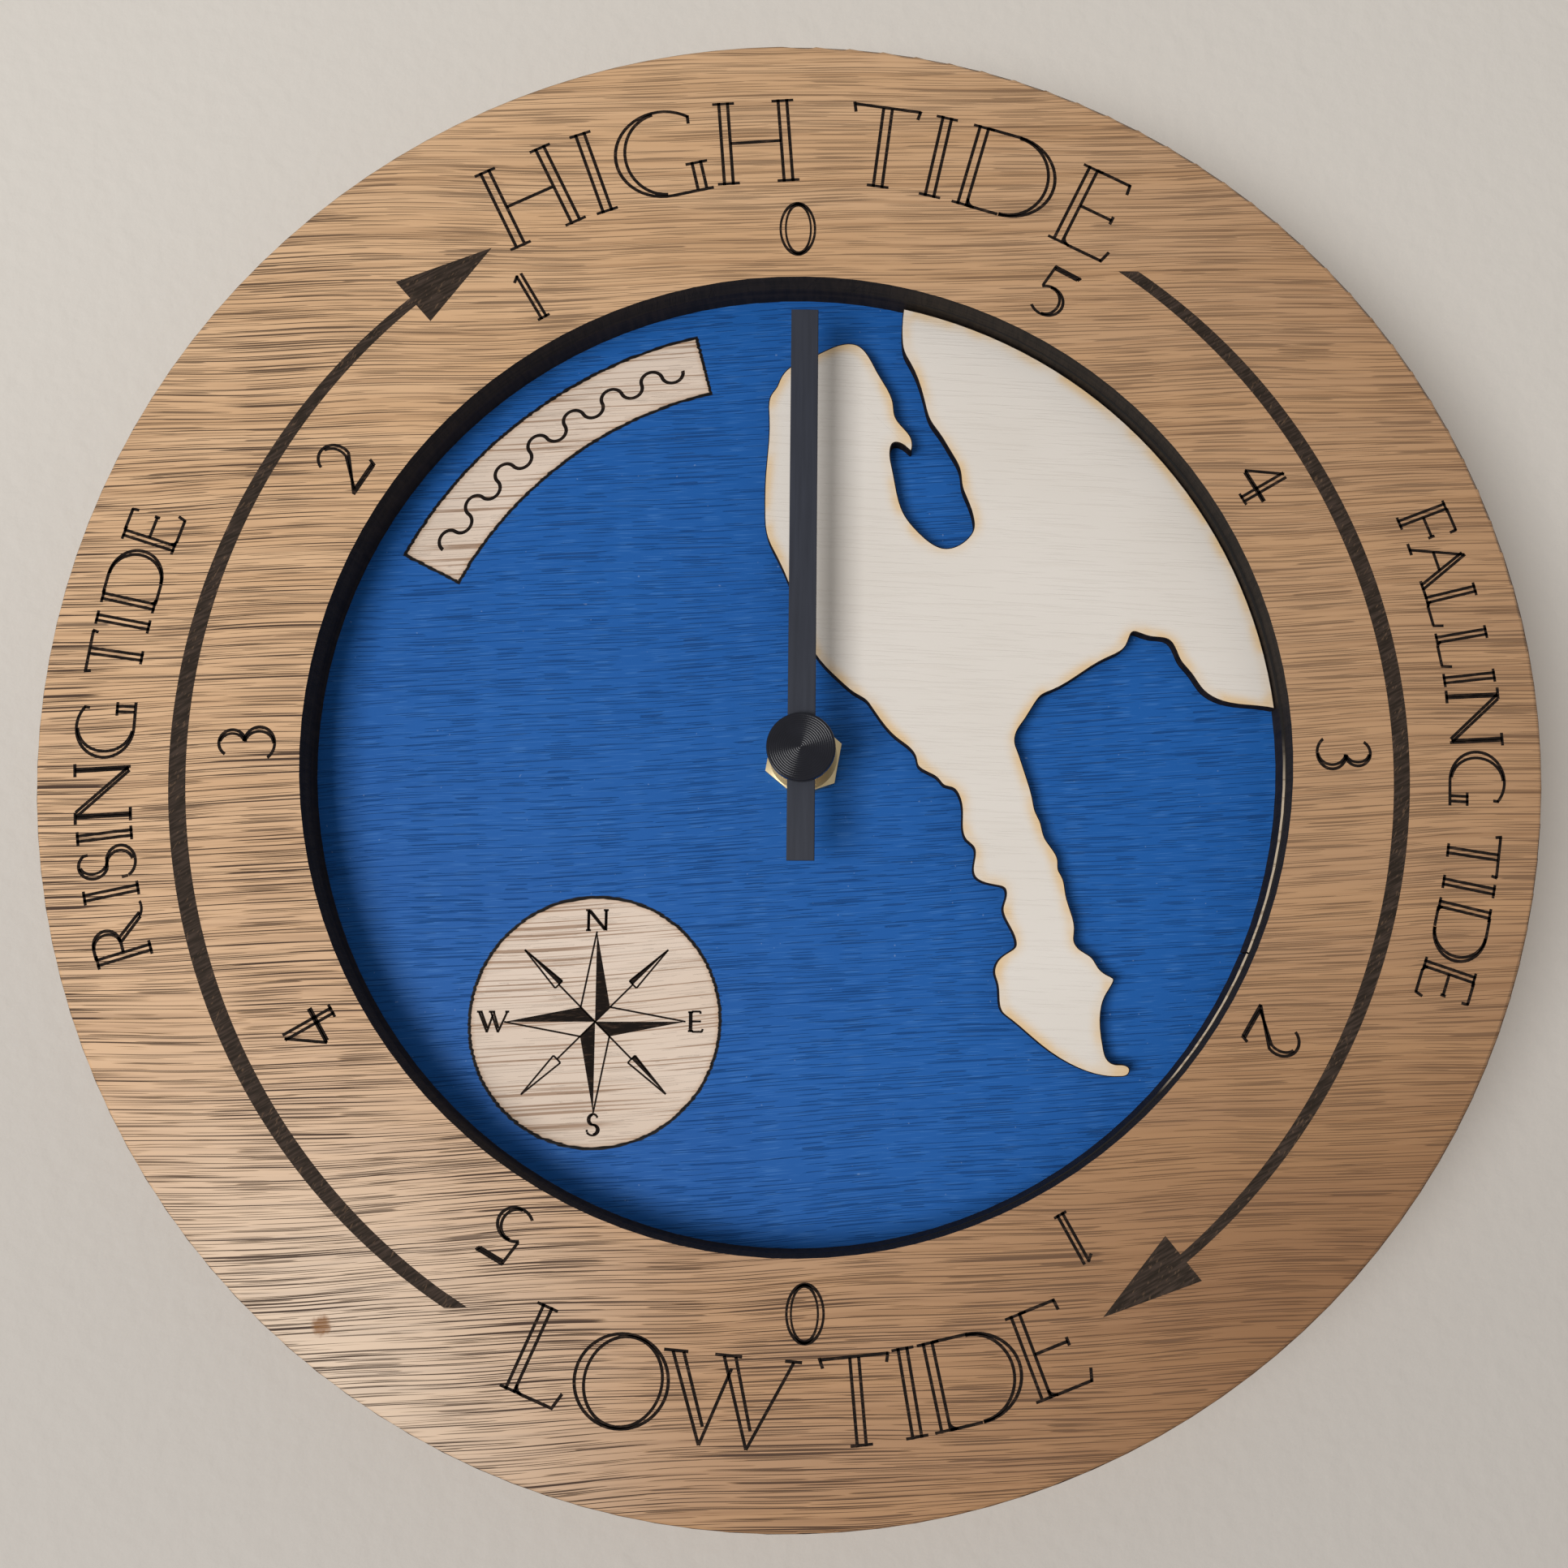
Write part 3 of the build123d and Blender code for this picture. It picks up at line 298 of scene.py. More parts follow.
# Open letters: each stem is two lines, with hairline feet. Sizes are shares of the letter's height, from
# the middle of its first stem or of its round form.
letter_strokes = {
    "I": [("stem", 0, 0, 1)],
    "H": [("stem", -0.34, 0, 1), ("stem", 0.34, 0, 1), ("hair", -0.29, 0.5, 0.29, 0.5)],
    "T": [("stem", 0, 0, 0.97, "foot"), ("hair", -0.38, 0.975, 0.38, 0.975),
          ("hair", -0.39, 1.0, -0.36, 0.88), ("hair", 0.38, 0.99, 0.355, 0.88)],
    "E": [("stem", 0, 0, 1), ("hair", 0.05, 0.985, 0.47, 0.985), ("hair", 0.46, 1.0, 0.475, 0.87),
          ("hair", 0.05, 0.51, 0.45, 0.51), ("hair", 0.45, 0.56, 0.45, 0.46),
          ("hair", 0.12, 0.015, 0.55, 0.015), ("hair", 0.54, 0.0, 0.585, 0.15),
          ("bow", 0.14, 0.1, 0.09, 0.085, 180, 270)],
    "F": [("stem", 0, 0, 1), ("hair", 0.05, 0.985, 0.5, 0.985), ("hair", 0.49, 1.0, 0.5, 0.86),
          ("hair", 0.05, 0.5, 0.45, 0.5), ("hair", 0.45, 0.56, 0.455, 0.43)],
    "L": [("stem", 0, 0, 1), ("hair", 0.12, 0.015, 0.5, 0.015), ("hair", 0.5, 0.0, 0.545, 0.2),
          ("bow", 0.14, 0.1, 0.09, 0.085, 180, 270)],
    "D": [("stem", 0, 0, 1), ("hair", 0.05, 0.985, 0.45, 0.985), ("hair", 0.05, 0.015, 0.42, 0.015),
          ("bow", 0.43, 0.5, 0.53, 0.485, -90, 90), ("bow", 0.43, 0.5, 0.45, 0.475, -90, 90),
          ("bow", 0.14, 0.1, 0.09, 0.085, 180, 270)],
    "O": [("bow", 0, 0.5, 0.52, 0.51, 0, 360), ("bow", 0.02, 0.5, 0.43, 0.49, 0, 360)],
    "G": [("bow", 0, 0.5, 0.55, 0.51, 48, 270), ("bow", 0.01, 0.5, 0.45, 0.49, 95, 262),
          ("hair", 0, -0.01, 0.47, -0.01), ("hair", 0.36, 0.9, 0.35, 0.8),
          ("stem", 0.34, 0, 0.34, "head")],
    "S": [("bow", 0.0, 0.745, 0.24, 0.255, 40, 250), ("bow", 0.02, 0.745, 0.17, 0.235, 100, 245),
          ("bow", 0.0, 0.255, 0.29, 0.255, 70, -155), ("bow", -0.02, 0.27, 0.22, 0.225, 60, -80),
          ("hair", -0.08, 0.505, 0.11, 0.495), ("hair", -0.07, 0.53, 0.1, 0.47),
          ("hair", 0.19, 0.92, 0.2, 0.82), ("hair", -0.27, 0.16, -0.28, 0.27)],
    "R": [("stem", 0, 0, 1), ("hair", 0.05, 0.985, 0.25, 0.985), ("hair", 0.05, 0.5, 0.26, 0.5),
          ("bow", 0.24, 0.742, 0.27, 0.243, -90, 90), ("bow", 0.24, 0.742, 0.2, 0.235, -90, 90),
          ("hair", 0.24, 0.49, 0.58, 0.06), ("hair", 0.33, 0.5, 0.66, 0.06),
          ("bow", 0.78, 0.15, 0.21, 0.15, 205, 290)],
    "N": [("hair", -0.44, 0.0, -0.44, 0.98), ("hair", -0.4, 0.0, -0.4, 0.98),
          ("hair", -0.43, 0.98, 0.37, 0.02), ("hair", -0.34, 0.98, 0.43, 0.04),
          ("hair", 0.4, 0.03, 0.4, 0.985), ("hair", 0.44, 0.0, 0.44, 0.985),
          ("hair", -0.56, 0.985, -0.34, 0.985), ("hair", -0.54, 0.015, -0.3, 0.015),
          ("hair", 0.3, 0.985, 0.54, 0.985)],
    "A": [("hair", -0.38, 0.0, 0.0, 0.98), ("hair", 0.0, 1.0, 0.42, 0.0),
          ("hair", -0.05, 0.95, 0.33, 0.0), ("hair", -0.22, 0.43, 0.16, 0.43),
          ("hair", -0.5, 0.015, -0.27, 0.015), ("hair", 0.25, 0.015, 0.56, 0.015)],
    "W": [("hair", -0.67, 0.98, -0.27, 0.0), ("hair", -0.55, 0.98, -0.25, 0.2),
          ("hair", -0.27, 0.0, 0.0, 0.85), ("hair", -0.1, 0.98, 0.255, 0.0),
          ("hair", 0.03, 0.98, 0.28, 0.2), ("hair", 0.255, 0.0, 0.68, 0.98),
          ("hair", -0.77, 0.985, -0.5, 0.985), ("hair", -0.2, 0.985, 0.1, 0.985),
          ("hair", 0.58, 0.985, 0.77, 0.985)],
    "0": [("bow", 0, 0.5, 0.33, 0.51, 0, 360), ("bow", 0.01, 0.5, 0.24, 0.49, 0, 360)],
    "1": [("stem", 0.0, 0.0, 1.0, "foot"), ("hair", -0.15, 0.89, -0.03, 0.99)],
    "2": [("bow", 0.0, 0.68, 0.28, 0.315, 155, -28), ("bow", -0.02, 0.68, 0.22, 0.285, 70, -30),
          ("hair", 0.25, 0.54, -0.35, 0.02), ("hair", 0.17, 0.54, -0.27, 0.06),
          ("hair", -0.36, 0.015, 0.31, 0.015), ("hair", -0.29, 0.06, 0.32, 0.06),
          ("hair", 0.31, 0.0, 0.36, 0.14)],
    "3": [("bow", -0.03, 0.76, 0.24, 0.24, 150, -85), ("bow", -0.04, 0.76, 0.18, 0.225, 80, -75),
          ("bow", -0.04, 0.275, 0.31, 0.28, 82, -145), ("bow", -0.05, 0.275, 0.24, 0.265, 75, -85)],
    "4": [("stem", 0.09, 0.0, 0.98, "foot"), ("hair", 0.07, 0.98, -0.37, 0.36),
          ("hair", -0.37, 0.37, 0.33, 0.37), ("hair", -0.34, 0.335, 0.33, 0.335)],
    "5": [("hair", -0.22, 0.975, 0.31, 0.975), ("hair", -0.19, 0.925, 0.29, 0.925),
          ("hair", 0.29, 0.92, 0.33, 1.0), ("hair", -0.2, 0.97, -0.25, 0.52),
          ("bow", -0.04, 0.28, 0.32, 0.29, 132, -135), ("bow", -0.05, 0.28, 0.25, 0.275, 100, -85)],
}
foot_half = 0.125
foot_line = 0.9


def letter(bm, sign, height, place, turn, hair=0.032, stem_gap=0.1):
    """Draws one letter standing on a place of its base line, turned in the dial's plane."""
    drawn = []
    for kind, *size in letter_strokes[sign]:
        if kind == "stem":
            x, low, high = size[:3]
            ends = size[3] if len(size) > 3 else "both"
            for side in (-stem_gap / 2, stem_gap / 2):
                drawn += bar(bm, (x + side, low), (x + side, high), hair)
            feet = {"both": (low, high), "foot": (low,), "head": (high,)}[ends]
            for y in feet:
                inset = hair / 2 if y == low else -hair / 2
                drawn += bar(bm, (x - foot_half, y + inset), (x + foot_half, y + inset), hair * foot_line)
        elif kind == "hair":
            drawn += bar(bm, size[:2], size[2:], hair)
        else:
            drawn += bow(bm, size[:2], size[2:4], size[4], size[5], hair)
    bmesh.ops.scale(bm, verts=drawn, vec=(height, height, 1))
    bmesh.ops.rotate(bm, verts=drawn, cent=(0, 0, 0), matrix=Matrix.Rotation(turn, 3, "Z"))
    bmesh.ops.translate(bm, verts=drawn, vec=(place[0], place[1], 0))


def burned(name, bm, finish, face):
    """Gives flat strokes their thickness and lays them on a face of the dial, half sunk in it."""
    pushed = bmesh.ops.extrude_face_region(bm, geom=bm.faces[:], use_keep_orig=True)["geom"]
    fronts = [v for v in pushed if isinstance(v, bmesh.types.BMVert)]
    bmesh.ops.translate(bm, verts=fronts, vec=(0, 0, burn_height))
    bmesh.ops.recalc_face_normals(bm, faces=bm.faces)
    bmesh.ops.rotate(bm, verts=bm.verts, cent=(0, 0, 0), matrix=Matrix.Rotation(pi / 2, 3, "X"))
    bmesh.ops.translate(bm, verts=bm.verts, vec=shaft + Vector((0, face + burn_height / 2, 0)))
    piece(name, bm, finish, "clock_body")


charred, tree, shader = new_finish("burned_mark", 0.85, sheen=0.1)
ash = speckle(tree, (0.0016, 0.001, 0.0003), grain_slope, 3.0)
char = mixed(tree, between(tree, ash, 0.5, 0.8), tone("1a1411"), tone("43342a"))
tree.links.new(char, shader.inputs["Base Color"])
bumped(tree, shader, ash, 0.00005)

bm = bmesh.new()
centre = Vector((rose_middle.x - shaft.x, rose_middle.z - shaft.z))
for quarter in range(4):
    turned = Matrix.Rotation(-quarter * pi / 2, 2)
    tip = centre + turned @ Vector((0, star_tip))
    right = centre + turned @ Vector((star_notch, star_notch))
    left = centre + turned @ Vector((-star_notch, star_notch))
    patch(bm, (centre, right, tip))
    bar(bm, left, tip, fine_line)
    bar(bm, centre, left, fine_line)
    point = centre + turned @ Vector((dart_tip, dart_tip)) / 2 ** 0.5
    root = centre + turned @ Vector((dart_base, dart_base)) / 2 ** 0.5
    side = turned @ Vector((-dart_half, dart_half)) / 2 ** 0.5
    bar(bm, right, root, fine_line)
    for start, end in ((root + side, point), (root - side, point), (root + side, root - side)):
        bar(bm, start, end, fine_line)
    # three darts are filled along one side, and the one at the lower left stays open
    if quarter != 2:
        patch(bm, (root, root + side, point) if quarter in (0, 1) else (root, root - side, point))
for sign, quarter in zip("NESW", range(4)):
    middle = centre + Matrix.Rotation(-quarter * pi / 2, 2) @ Vector((0, wind_distance))
    inset = east_inset * wind_height if sign == "E" else 0
    foot = (middle.x + inset, middle.y - wind_height / 2)
    letter(bm, sign, wind_height, foot, 0, hair=0.1, stem_gap=0.08)
burned("compass_rose", bm, charred, board_front)

# Curved plate: the bare field at the upper left carries a plain line of waves, burned into the veneer with
# the laser as the rose is. Each half wave is one bow, turned to follow the field.
wave_count = 14
wave_radius = 0.0727
wave_rise = 0.0016
wave_line = 0.0006
bm = bmesh.new()
wave_turn = (plate_angles[0] - plate_angles[1]) / (wave_count + 2)
for wave in range(wave_count):
    at = plate_angles[1] + wave_turn * (wave + 1.5)
    first = 180 * (wave % 2)
    drawn = bow(bm, (0, 0), (-wave_turn * wave_radius / 2, wave_rise), first, first + 180, wave_line)
    bmesh.ops.rotate(bm, verts=drawn, cent=(0, 0, 0), matrix=Matrix.Rotation(at - pi / 2, 3, "Z"))
    bmesh.ops.translate(bm, verts=drawn, vec=(wave_radius * cos(at), wave_radius * sin(at), 0))
burned("plate_waves", bm, charred, board_front)

# Land: one pale laser-cut sheet of plywood glued on the board. Its edges are burned black by the cut, and a
# yellow scorch reaches two or three millimetres over the top.
scorch_reach = 0.0027
scorch_rays = 12
burned_rim = 0.00016
weld = 0.000001
land, tree, shader = new_finish("land_ply", 0.62, sheen=0.3)
faint = between(tree, speckle(tree, (0.012, 0.01, 0.0004), radians(-2), 3.0, 0.3), 0.5, 0.34)
clouds = speckle(tree, (0.03, 0.02, 0.02), shift=0.5)
cream = mixed(tree, clouds, tone("d6cec4"), tone("e0d9d1"))
cream = mixed(tree, math(tree, "MULTIPLY", faint, 0.05), cream, tone("b3a08c"))
near_edge = add(tree, "ShaderNodeAmbientOcclusion", {"Distance": scorch_reach}, out="AO", inside=True,
                samples=scorch_rays)
uneven = between(tree, speckle(tree, (0.008, 0.008, 0.008), shift=0.7, detail=3.0), 0.36, 0.60, 0.3, 1.0)
burn = math(tree, "MULTIPLY", between(tree, near_edge, 0.99, 0.58), uneven)
cream = mixed(tree, math(tree, "MULTIPLY", burn, 0.65), cream, tone("dcb065"))
tree.links.new(cream, shader.inputs["Base Color"])
bumped(tree, shader, faint, 0.00003)
cut_land, tree, shader = new_finish("land_cut", 0.8, sheen=0.15)
tree.links.new(burned_edge(tree, "2a1f18", "0f0c0b"), shader.inputs["Base Color"])
bm = bmesh.new()
bm.from_mesh(nodes["land_overlay"].data)
bmesh.ops.remove_doubles(bm, verts=bm.verts, dist=weld)
bmesh.ops.dissolve_limit(bm, angle_limit=radians(0.5), verts=bm.verts, edges=bm.edges)
for face in bm.faces:
    face.material_index = 0 if abs(face.normal.y) > 0.9 else 1
top = min(bm.faces, key=lambda face: face.normal.y * face.calc_area())
for face in bmesh.ops.inset_region(bm, faces=[top], thickness=burned_rim, use_even_offset=True)["faces"]:
    face.material_index = 1
land_piece = piece("land_cut_out", bm, land, "clock_body")
land_piece.data.materials.append(cut_land)
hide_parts("land_overlay")

# Spacer ring: a second ring of the same board, glued between front ring and back board. Its inner edge was
# burned black by the cut, and its bare front shows where it stands a little inside the front ring.
bare_angles = (radians(-44), radians(3))
wall_to_rim = (0.09, 0.11)
round_from, round_to = 0.12464, 0.12484
spacer, tree, shader = new_finish("spacer_wood", 0.7, sheen=0.2)
veneer_pores = between(tree, speckle(tree, (0.02, 0.01, 0.0008), 0.0, 3.0), 0.44, 0.36)
bare_tan = mixed(tree, math(tree, "MULTIPLY", veneer_pores, 0.5), tone("c9b79f"), tone("7d664f"))
angle = dial_place(tree)[3]
unburned = math(tree, "MULTIPLY", between(tree, angle, bare_angles[0], bare_angles[0] + 0.08),
                between(tree, angle, bare_angles[1], bare_angles[1] - 0.15))
bare_tan = mixed(tree, unburned, tone("232120"), bare_tan)


def ring_edges(tree, face):
    """A ring's face, with the opening's wall burned black and the outer rim and its round edge brown."""
    radius = dial_place(tree)[2]
    wall = burned_edge(tree, "2d251f", "1c1714")
    rim = burned_edge(tree, "7a5638", "35251a")
    cut = cut_edges(tree, face, mixed(tree, between(tree, radius, *wall_to_rim), wall, rim))
    return mixed(tree, between(tree, radius, round_from, round_to), cut, rim)


tree.links.new(ring_edges(tree, bare_tan), shader.inputs["Base Color"])
put_on(spacer, "spacer_ring")

# Front ring: cut from board with an open-pored tan veneer, its grain across the dial, and glued on the spacer
# with a thin clear satin finish. The pores are long and dark at the lower left and finer at the upper right.
# Its colour is paler towards the upper left and darker towards the lower right, partly the veneer's own tone
# and partly painted shade, with a painted highlight at the lower left, a painted shade at the lower right, a
# paler patch at the right and one small knot.
ring_front = -0.0305
ring_slope = radians(2.0)
ring_bend = 0.004
pale_at_shaft = 0.5491
pale_across = -2.8
pale_upwards = 1.54
painted_sheen_place = shaft + Vector((-0.080, ring_front, -0.105))
painted_shade_place = shaft + Vector((0.105, ring_front, -0.100))
pale_patch_place = shaft + Vector((0.095, ring_front, 0.005))
knot_place = shaft + Vector((-0.0750, ring_front, -0.0923))
knot_radius = 0.0026
knot_rough = 0.0016


def distance_from(tree, spot):
    place = add(tree, "ShaderNodeTexCoord", {}, out="Object")
    return add(tree, "ShaderNodeVectorMath", {0: place, 1: spot}, out=1, operation="DISTANCE")


veneer, tree, shader = new_finish("ring_veneer", 0.5, sheen=0.3)
across, up = dial_place(tree)[:2]
# the veneer is paler towards the upper left and darker towards the lower right: partly its own tone, partly
# painted shade
pale = math(tree, "MULTIPLY_ADD", up, pale_upwards, pale_at_shaft)
pale = math(tree, "MULTIPLY_ADD", across, pale_across, pale)
pale = between(tree, pale, 0.0, 1.0)
open_side = math(tree, "MULTIPLY_ADD", across, -1.0, math(tree, "MULTIPLY", up, -0.5))
open_side = between(tree, open_side, -0.04, 0.09)
fine_pores = speckle(tree, (0.016, 0.01, 0.00017), ring_slope, 0.0, bend=ring_bend)
fine_pores = between(tree, fine_pores, 0.39, 0.35)
long_pores = speckle(tree, (0.040, 0.01, 0.00024), ring_slope, 0.0, 0.4, ring_bend)
long_pores = between(tree, long_pores, 0.365, 0.33)
fine_pores = math(tree, "MULTIPLY", fine_pores, math(tree, "MULTIPLY_ADD", open_side, 0.2, 0.5))
long_pores = math(tree, "MULTIPLY", long_pores, math(tree, "MULTIPLY_ADD", open_side, 0.45, 0.5))
pores = math(tree, "MAXIMUM", fine_pores, long_pores)
fibres = speckle(tree, (0.06, 0.01, 0.0008), ring_slope, 3.0, 0.6, ring_bend)
streaks = speckle(tree, (0.10, 0.01, 0.006), ring_slope, 2.0, 0.8)
# painted highlight: a pale patch at the lower left, where the satin finish reflects the window
painted_sheen = between(tree, distance_from(tree, painted_sheen_place), 0.07, 0.0, 0.0, 0.5)
# painted shade: a darker patch at the lower right, where less light falls
painted_shade_patch = between(tree, distance_from(tree, painted_shade_place), 0.085, 0.02, 0.0, 0.35)
# a paler patch at the right of the ring
pale_patch = between(tree, distance_from(tree, pale_patch_place), 0.10, 0.01, 0.0, 0.32)
knot_rings = speckle(tree, (0.0008, 0.001, 0.0015), shift=0.9)
knot_edge = math(tree, "MULTIPLY_ADD", knot_rings, knot_rough, distance_from(tree, knot_place))
knot = between(tree, knot_edge, knot_radius, knot_radius * 0.6)
tan = mixed(tree, pale, tone("8d6444"), tone("d8b189"))
tan = mixed(tree, math(tree, "MULTIPLY", between(tree, streaks, 0.3, 0.75), 0.35), tan, tone("b88b5e"))
tan = mixed(tree, painted_shade_patch, tan, tone("75502f"))
tan = mixed(tree, pale_patch, tan, tone("d8b189"))
tan = mixed(tree, math(tree, "MULTIPLY", between(tree, fibres, 0.55, 0.3), 0.4), tan, tone("7d5839"))
tan = mixed(tree, painted_sheen, tan, tone("ecdcc8"))
tan = mixed(tree, pores, tan, tone("331d11"))
tan = mixed(tree, math(tree, "MULTIPLY", knot, 0.9), tan, tone("87592c"))
tree.links.new(ring_edges(tree, tan), shader.inputs["Base Color"])
rough = math(tree, "MULTIPLY_ADD", pores, 0.25, 0.46)
tree.links.new(flat_side(tree, 0.9, rough), shader.inputs["Roughness"])
bumped(tree, shader, math(tree, "MULTIPLY", pores, -1.0), 0.0001, 0.8)
put_on(veneer, "ring_frame")

# Lettering of the ring: words burned round the dial with the laser. Each word stands on an arc about the
# shaft. It gives its letters, their height, the arc's radius, which way up they stand, the line's share of
# the height, and each letter's angle, counted from the right against the clock.
words = {
    "high_tide": ("HIGHTIDE", 0.0152, 0.0996, 1, 0.036,
                  (116.3, 110.05, 103.35, 94.75, 82.9, 77.65, 74.3, 64.05)),
    "low_tide": ("LOWTIDE", 0.0143, 0.1121, -1, 0.036,
                 (-113.8, -105.3, -95.9, -84.65, -80.1, -77.7, -69.1)),
    "rising_tide": ("RISINGTIDE", 0.0091, 0.1096, 1, 0.055,
                    (197.35, 192.15, 189.7, 187.4, 183.8, 178.4, 172.25, 169.5, 167.7, 162.3)),
    "falling_tide": ("FALLINGTIDE", 0.0091, 0.1092, 1, 0.055,
                     (21.3, 16.95, 13.95, 10.25, 6.55, 3.05, -2.4, -8.6, -11.4, -13.4, -18.8)),
}
for name, (signs, height, base, upright, line, angles) in words.items():
    bm = bmesh.new()
    for sign, degrees in zip(signs, angles):
        at = radians(degrees)
        letter(bm, sign, height, (base * cos(at), base * sin(at)), at - upright * pi / 2, hair=line)
    burned("words_" + name, bm, charred, ring_front)

# Hours to the next tide: five to nought on each side of the dial, burned close to the opening with their
# heads outwards.
digit_height = 0.0090
digit_base = 0.0866
digits = "012345" * 2
digit_angles = (90.9, 120.9, 148.2, 179.4, 210.2, 239.4, 270.8, 299.2, 328.9, -0.2, 30.8, 61.9)
bm = bmesh.new()
for sign, degrees in zip(digits, digit_angles):
    at = radians(degrees)
    letter(bm, sign, digit_height, (digit_base * cos(at), digit_base * sin(at)), at - pi / 2, hair=0.056)
burned("hour_digits", bm, charred, ring_front)

# Arrows: two long arcs burned into the ring, thinner towards the head, that show which way the hand goes
# round. Each is one bow with a filled head; its middle lies a little off the shaft.
arrows = {
    "rising": {"middle": (0.0027, -0.0016), "radius": 0.10485, "from": -123.6, "to": -228.5, "tip": -237.4},
    "falling": {"middle": (-0.00384, -0.00165), "radius": 0.1047, "from": 54.4, "to": -50.8, "tip": -59.6},
}
arrow_widths = (0.0020, 0.0028, 0.0016)
arrow_widest = 0.38
arrow_steps = 90
head_half = 0.0046
scorched, tree, shader = new_finish("scorched_arrow", 0.8, sheen=0.15)
fibres = speckle(tree, (0.004, 0.01, 0.0004), radians(30), 3.0)
flecks = between(tree, speckle(tree, (0.0012, 0.001, 0.0003), radians(60), 1.0), 0.62, 0.76)
brown = mixed(tree, between(tree, fibres, 0.35, 0.75), tone("282019"), tone("453830"))
brown = mixed(tree, math(tree, "MULTIPLY", flecks, 0.3), brown, tone("8a6d54"))
tree.links.new(brown, shader.inputs["Base Color"])
bumped(tree, shader, fibres, 0.00006)
for name, arrow in arrows.items():
    bm = bmesh.new()
    drawn = bow(bm, (0, 0), [arrow["radius"]] * 2, arrow["from"], arrow["to"], arrow_widths[1], arrow_steps)
    for place, v in enumerate(drawn):
        along = place // 2 / (len(drawn) // 2 - 1)
        narrow, run = (0, arrow_widest) if along < arrow_widest else (2, 1 - arrow_widest)
        taper = ((along - arrow_widest) / run) ** 2 * (1 - arrow_widths[narrow] / arrow_widths[1])
        v.co *= 1 + (arrow["radius"] / v.co.length - 1) * taper
    # the line starts in a level cut, so its inner side reaches further than its outer one
    inner, outer = sorted(drawn[:2], key=lambda v: v.co.length)
    inner.co.x = copysign((inner.co.length ** 2 - outer.co.y ** 2) ** 0.5, outer.co.x)
    inner.co.y = outer.co.y
    base = Vector((cos(radians(arrow["to"])), sin(radians(arrow["to"]))))
    tip = Vector((cos(radians(arrow["tip"])), sin(radians(arrow["tip"])))) * arrow["radius"]
    patch(bm, (base * (arrow["radius"] - head_half), base * (arrow["radius"] + head_half), tip))
    bmesh.ops.translate(bm, verts=bm.verts, vec=(*arrow["middle"], 0))
    burned("arrow_" + name, bm, scorched, ring_front)

# Movement case and cover: black plastic, injection moulded with a fine matt texture. The case carries the
# hanging eye and the battery bay, the cover snaps on behind the wheels, and a rubber gasket lies between the
# case and the board.
moulded, tree, shader = new_finish("case_plastic", 0.5)
grit = speckle(tree, (0.0004, 0.0004, 0.0004), detail=1.0)
handled = speckle(tree, (0.02, 0.02, 0.02))
tree.links.new(mixed(tree, handled, tone("1c1c1e"), tone("29292c")), shader.inputs["Base Color"])
bumped(tree, shader, grit, 0.00003)
put_on(moulded, "movement_case", "movement_cover")
rubber, tree, shader = new_finish("gasket_rubber", 0.8)
bloom = speckle(tree, (0.006, 0.006, 0.006), detail=3.0)
tree.links.new(mixed(tree, bloom, tone("1a1a1a"), tone("2b2a29")), shader.inputs["Base Color"])
put_on(rubber, "rubber_gasket")

# Brass parts: turned from bar. The threaded bush is moulded in the case, the nut on it clamps the board, and
# the collet is riveted in the hand and pressed on the tide wheel's tube.
brass, tree, shader = new_finish("turned_brass", 0.3, metallic=1.0)
tarnish = speckle(tree, (0.004, 0.004, 0.004), detail=3.0)
tree.links.new(mixed(tree, tarnish, tone("ecdcb6"), tone("cfb47e")), shader.inputs["Base Color"])
tree.links.new(math(tree, "MULTIPLY_ADD", tarnish, 0.2, 0.2), shader.inputs["Roughness"])
put_on(brass, "threaded_bush", "hex_nut", "hand_collet")

# Wheels, bobbin and setting knob: moulded in natural acetal, off white with faint flow marks. The wheels run
# on their arbors between case and cover, and the knob is pressed on the minute wheel's arbor from behind.
acetal, tree, shader = new_finish("wheel_plastic", 0.4)
flow = speckle(tree, (0.003, 0.003, 0.003))
tree.links.new(mixed(tree, flow, tone("e6e0d0"), tone("f0ebdf")), shader.inputs["Base Color"])
put_on(acetal, "tide_wheel", "minute_wheel", "centre_pinion", "centre_wheel", "third_wheel", "second_wheel",
       "step_wheel", "rotor_pinion", "coil_bobbin", "set_knob")

# Stepping motor and circuit: stator and core stamped from iron sheet, a sintered magnet on the rotor, copper
# wire wound on the bobbin, a green resin board, and contact strips and crystal can of plated steel. All of it
# lies in the case under the cover.
iron, tree, shader = new_finish("stamped_iron", 0.4, metallic=1.0)
rolled = speckle(tree, (0.02, 0.004, 0.0004), detail=2.0)
tree.links.new(mixed(tree, rolled, tone("8d8d8f"), tone("aeaeb0")), shader.inputs["Base Color"])
put_on(iron, "stator", "coil_core", "contact_positive", "contact_negative", "quartz_crystal")
sintered, tree, shader = new_finish("sintered_magnet", 0.55, metallic=1.0)
grains = speckle(tree, (0.0005, 0.0005, 0.0005))
tree.links.new(mixed(tree, grains, tone("3c3c40"), tone("5a5a5e")), shader.inputs["Base Color"])
put_on(sintered, "rotor_magnet")
copper, tree, shader = new_finish("copper_wire", 0.35, metallic=1.0)
turns = speckle(tree, (0.00012, 0.02, 0.02), detail=1.0)
tree.links.new(mixed(tree, turns, tone("8f4a25"), tone("d08250")), shader.inputs["Base Color"])
bumped(tree, shader, turns, 0.00006)
put_on(copper, "coil_winding")
resin, tree, shader = new_finish("circuit_resin", 0.4)
weave = speckle(tree, (0.0008, 0.0008, 0.0008))
tree.links.new(mixed(tree, weave, tone("1e4a2a"), tone("2f6a3c")), shader.inputs["Base Color"])
put_on(resin, "circuit_board")

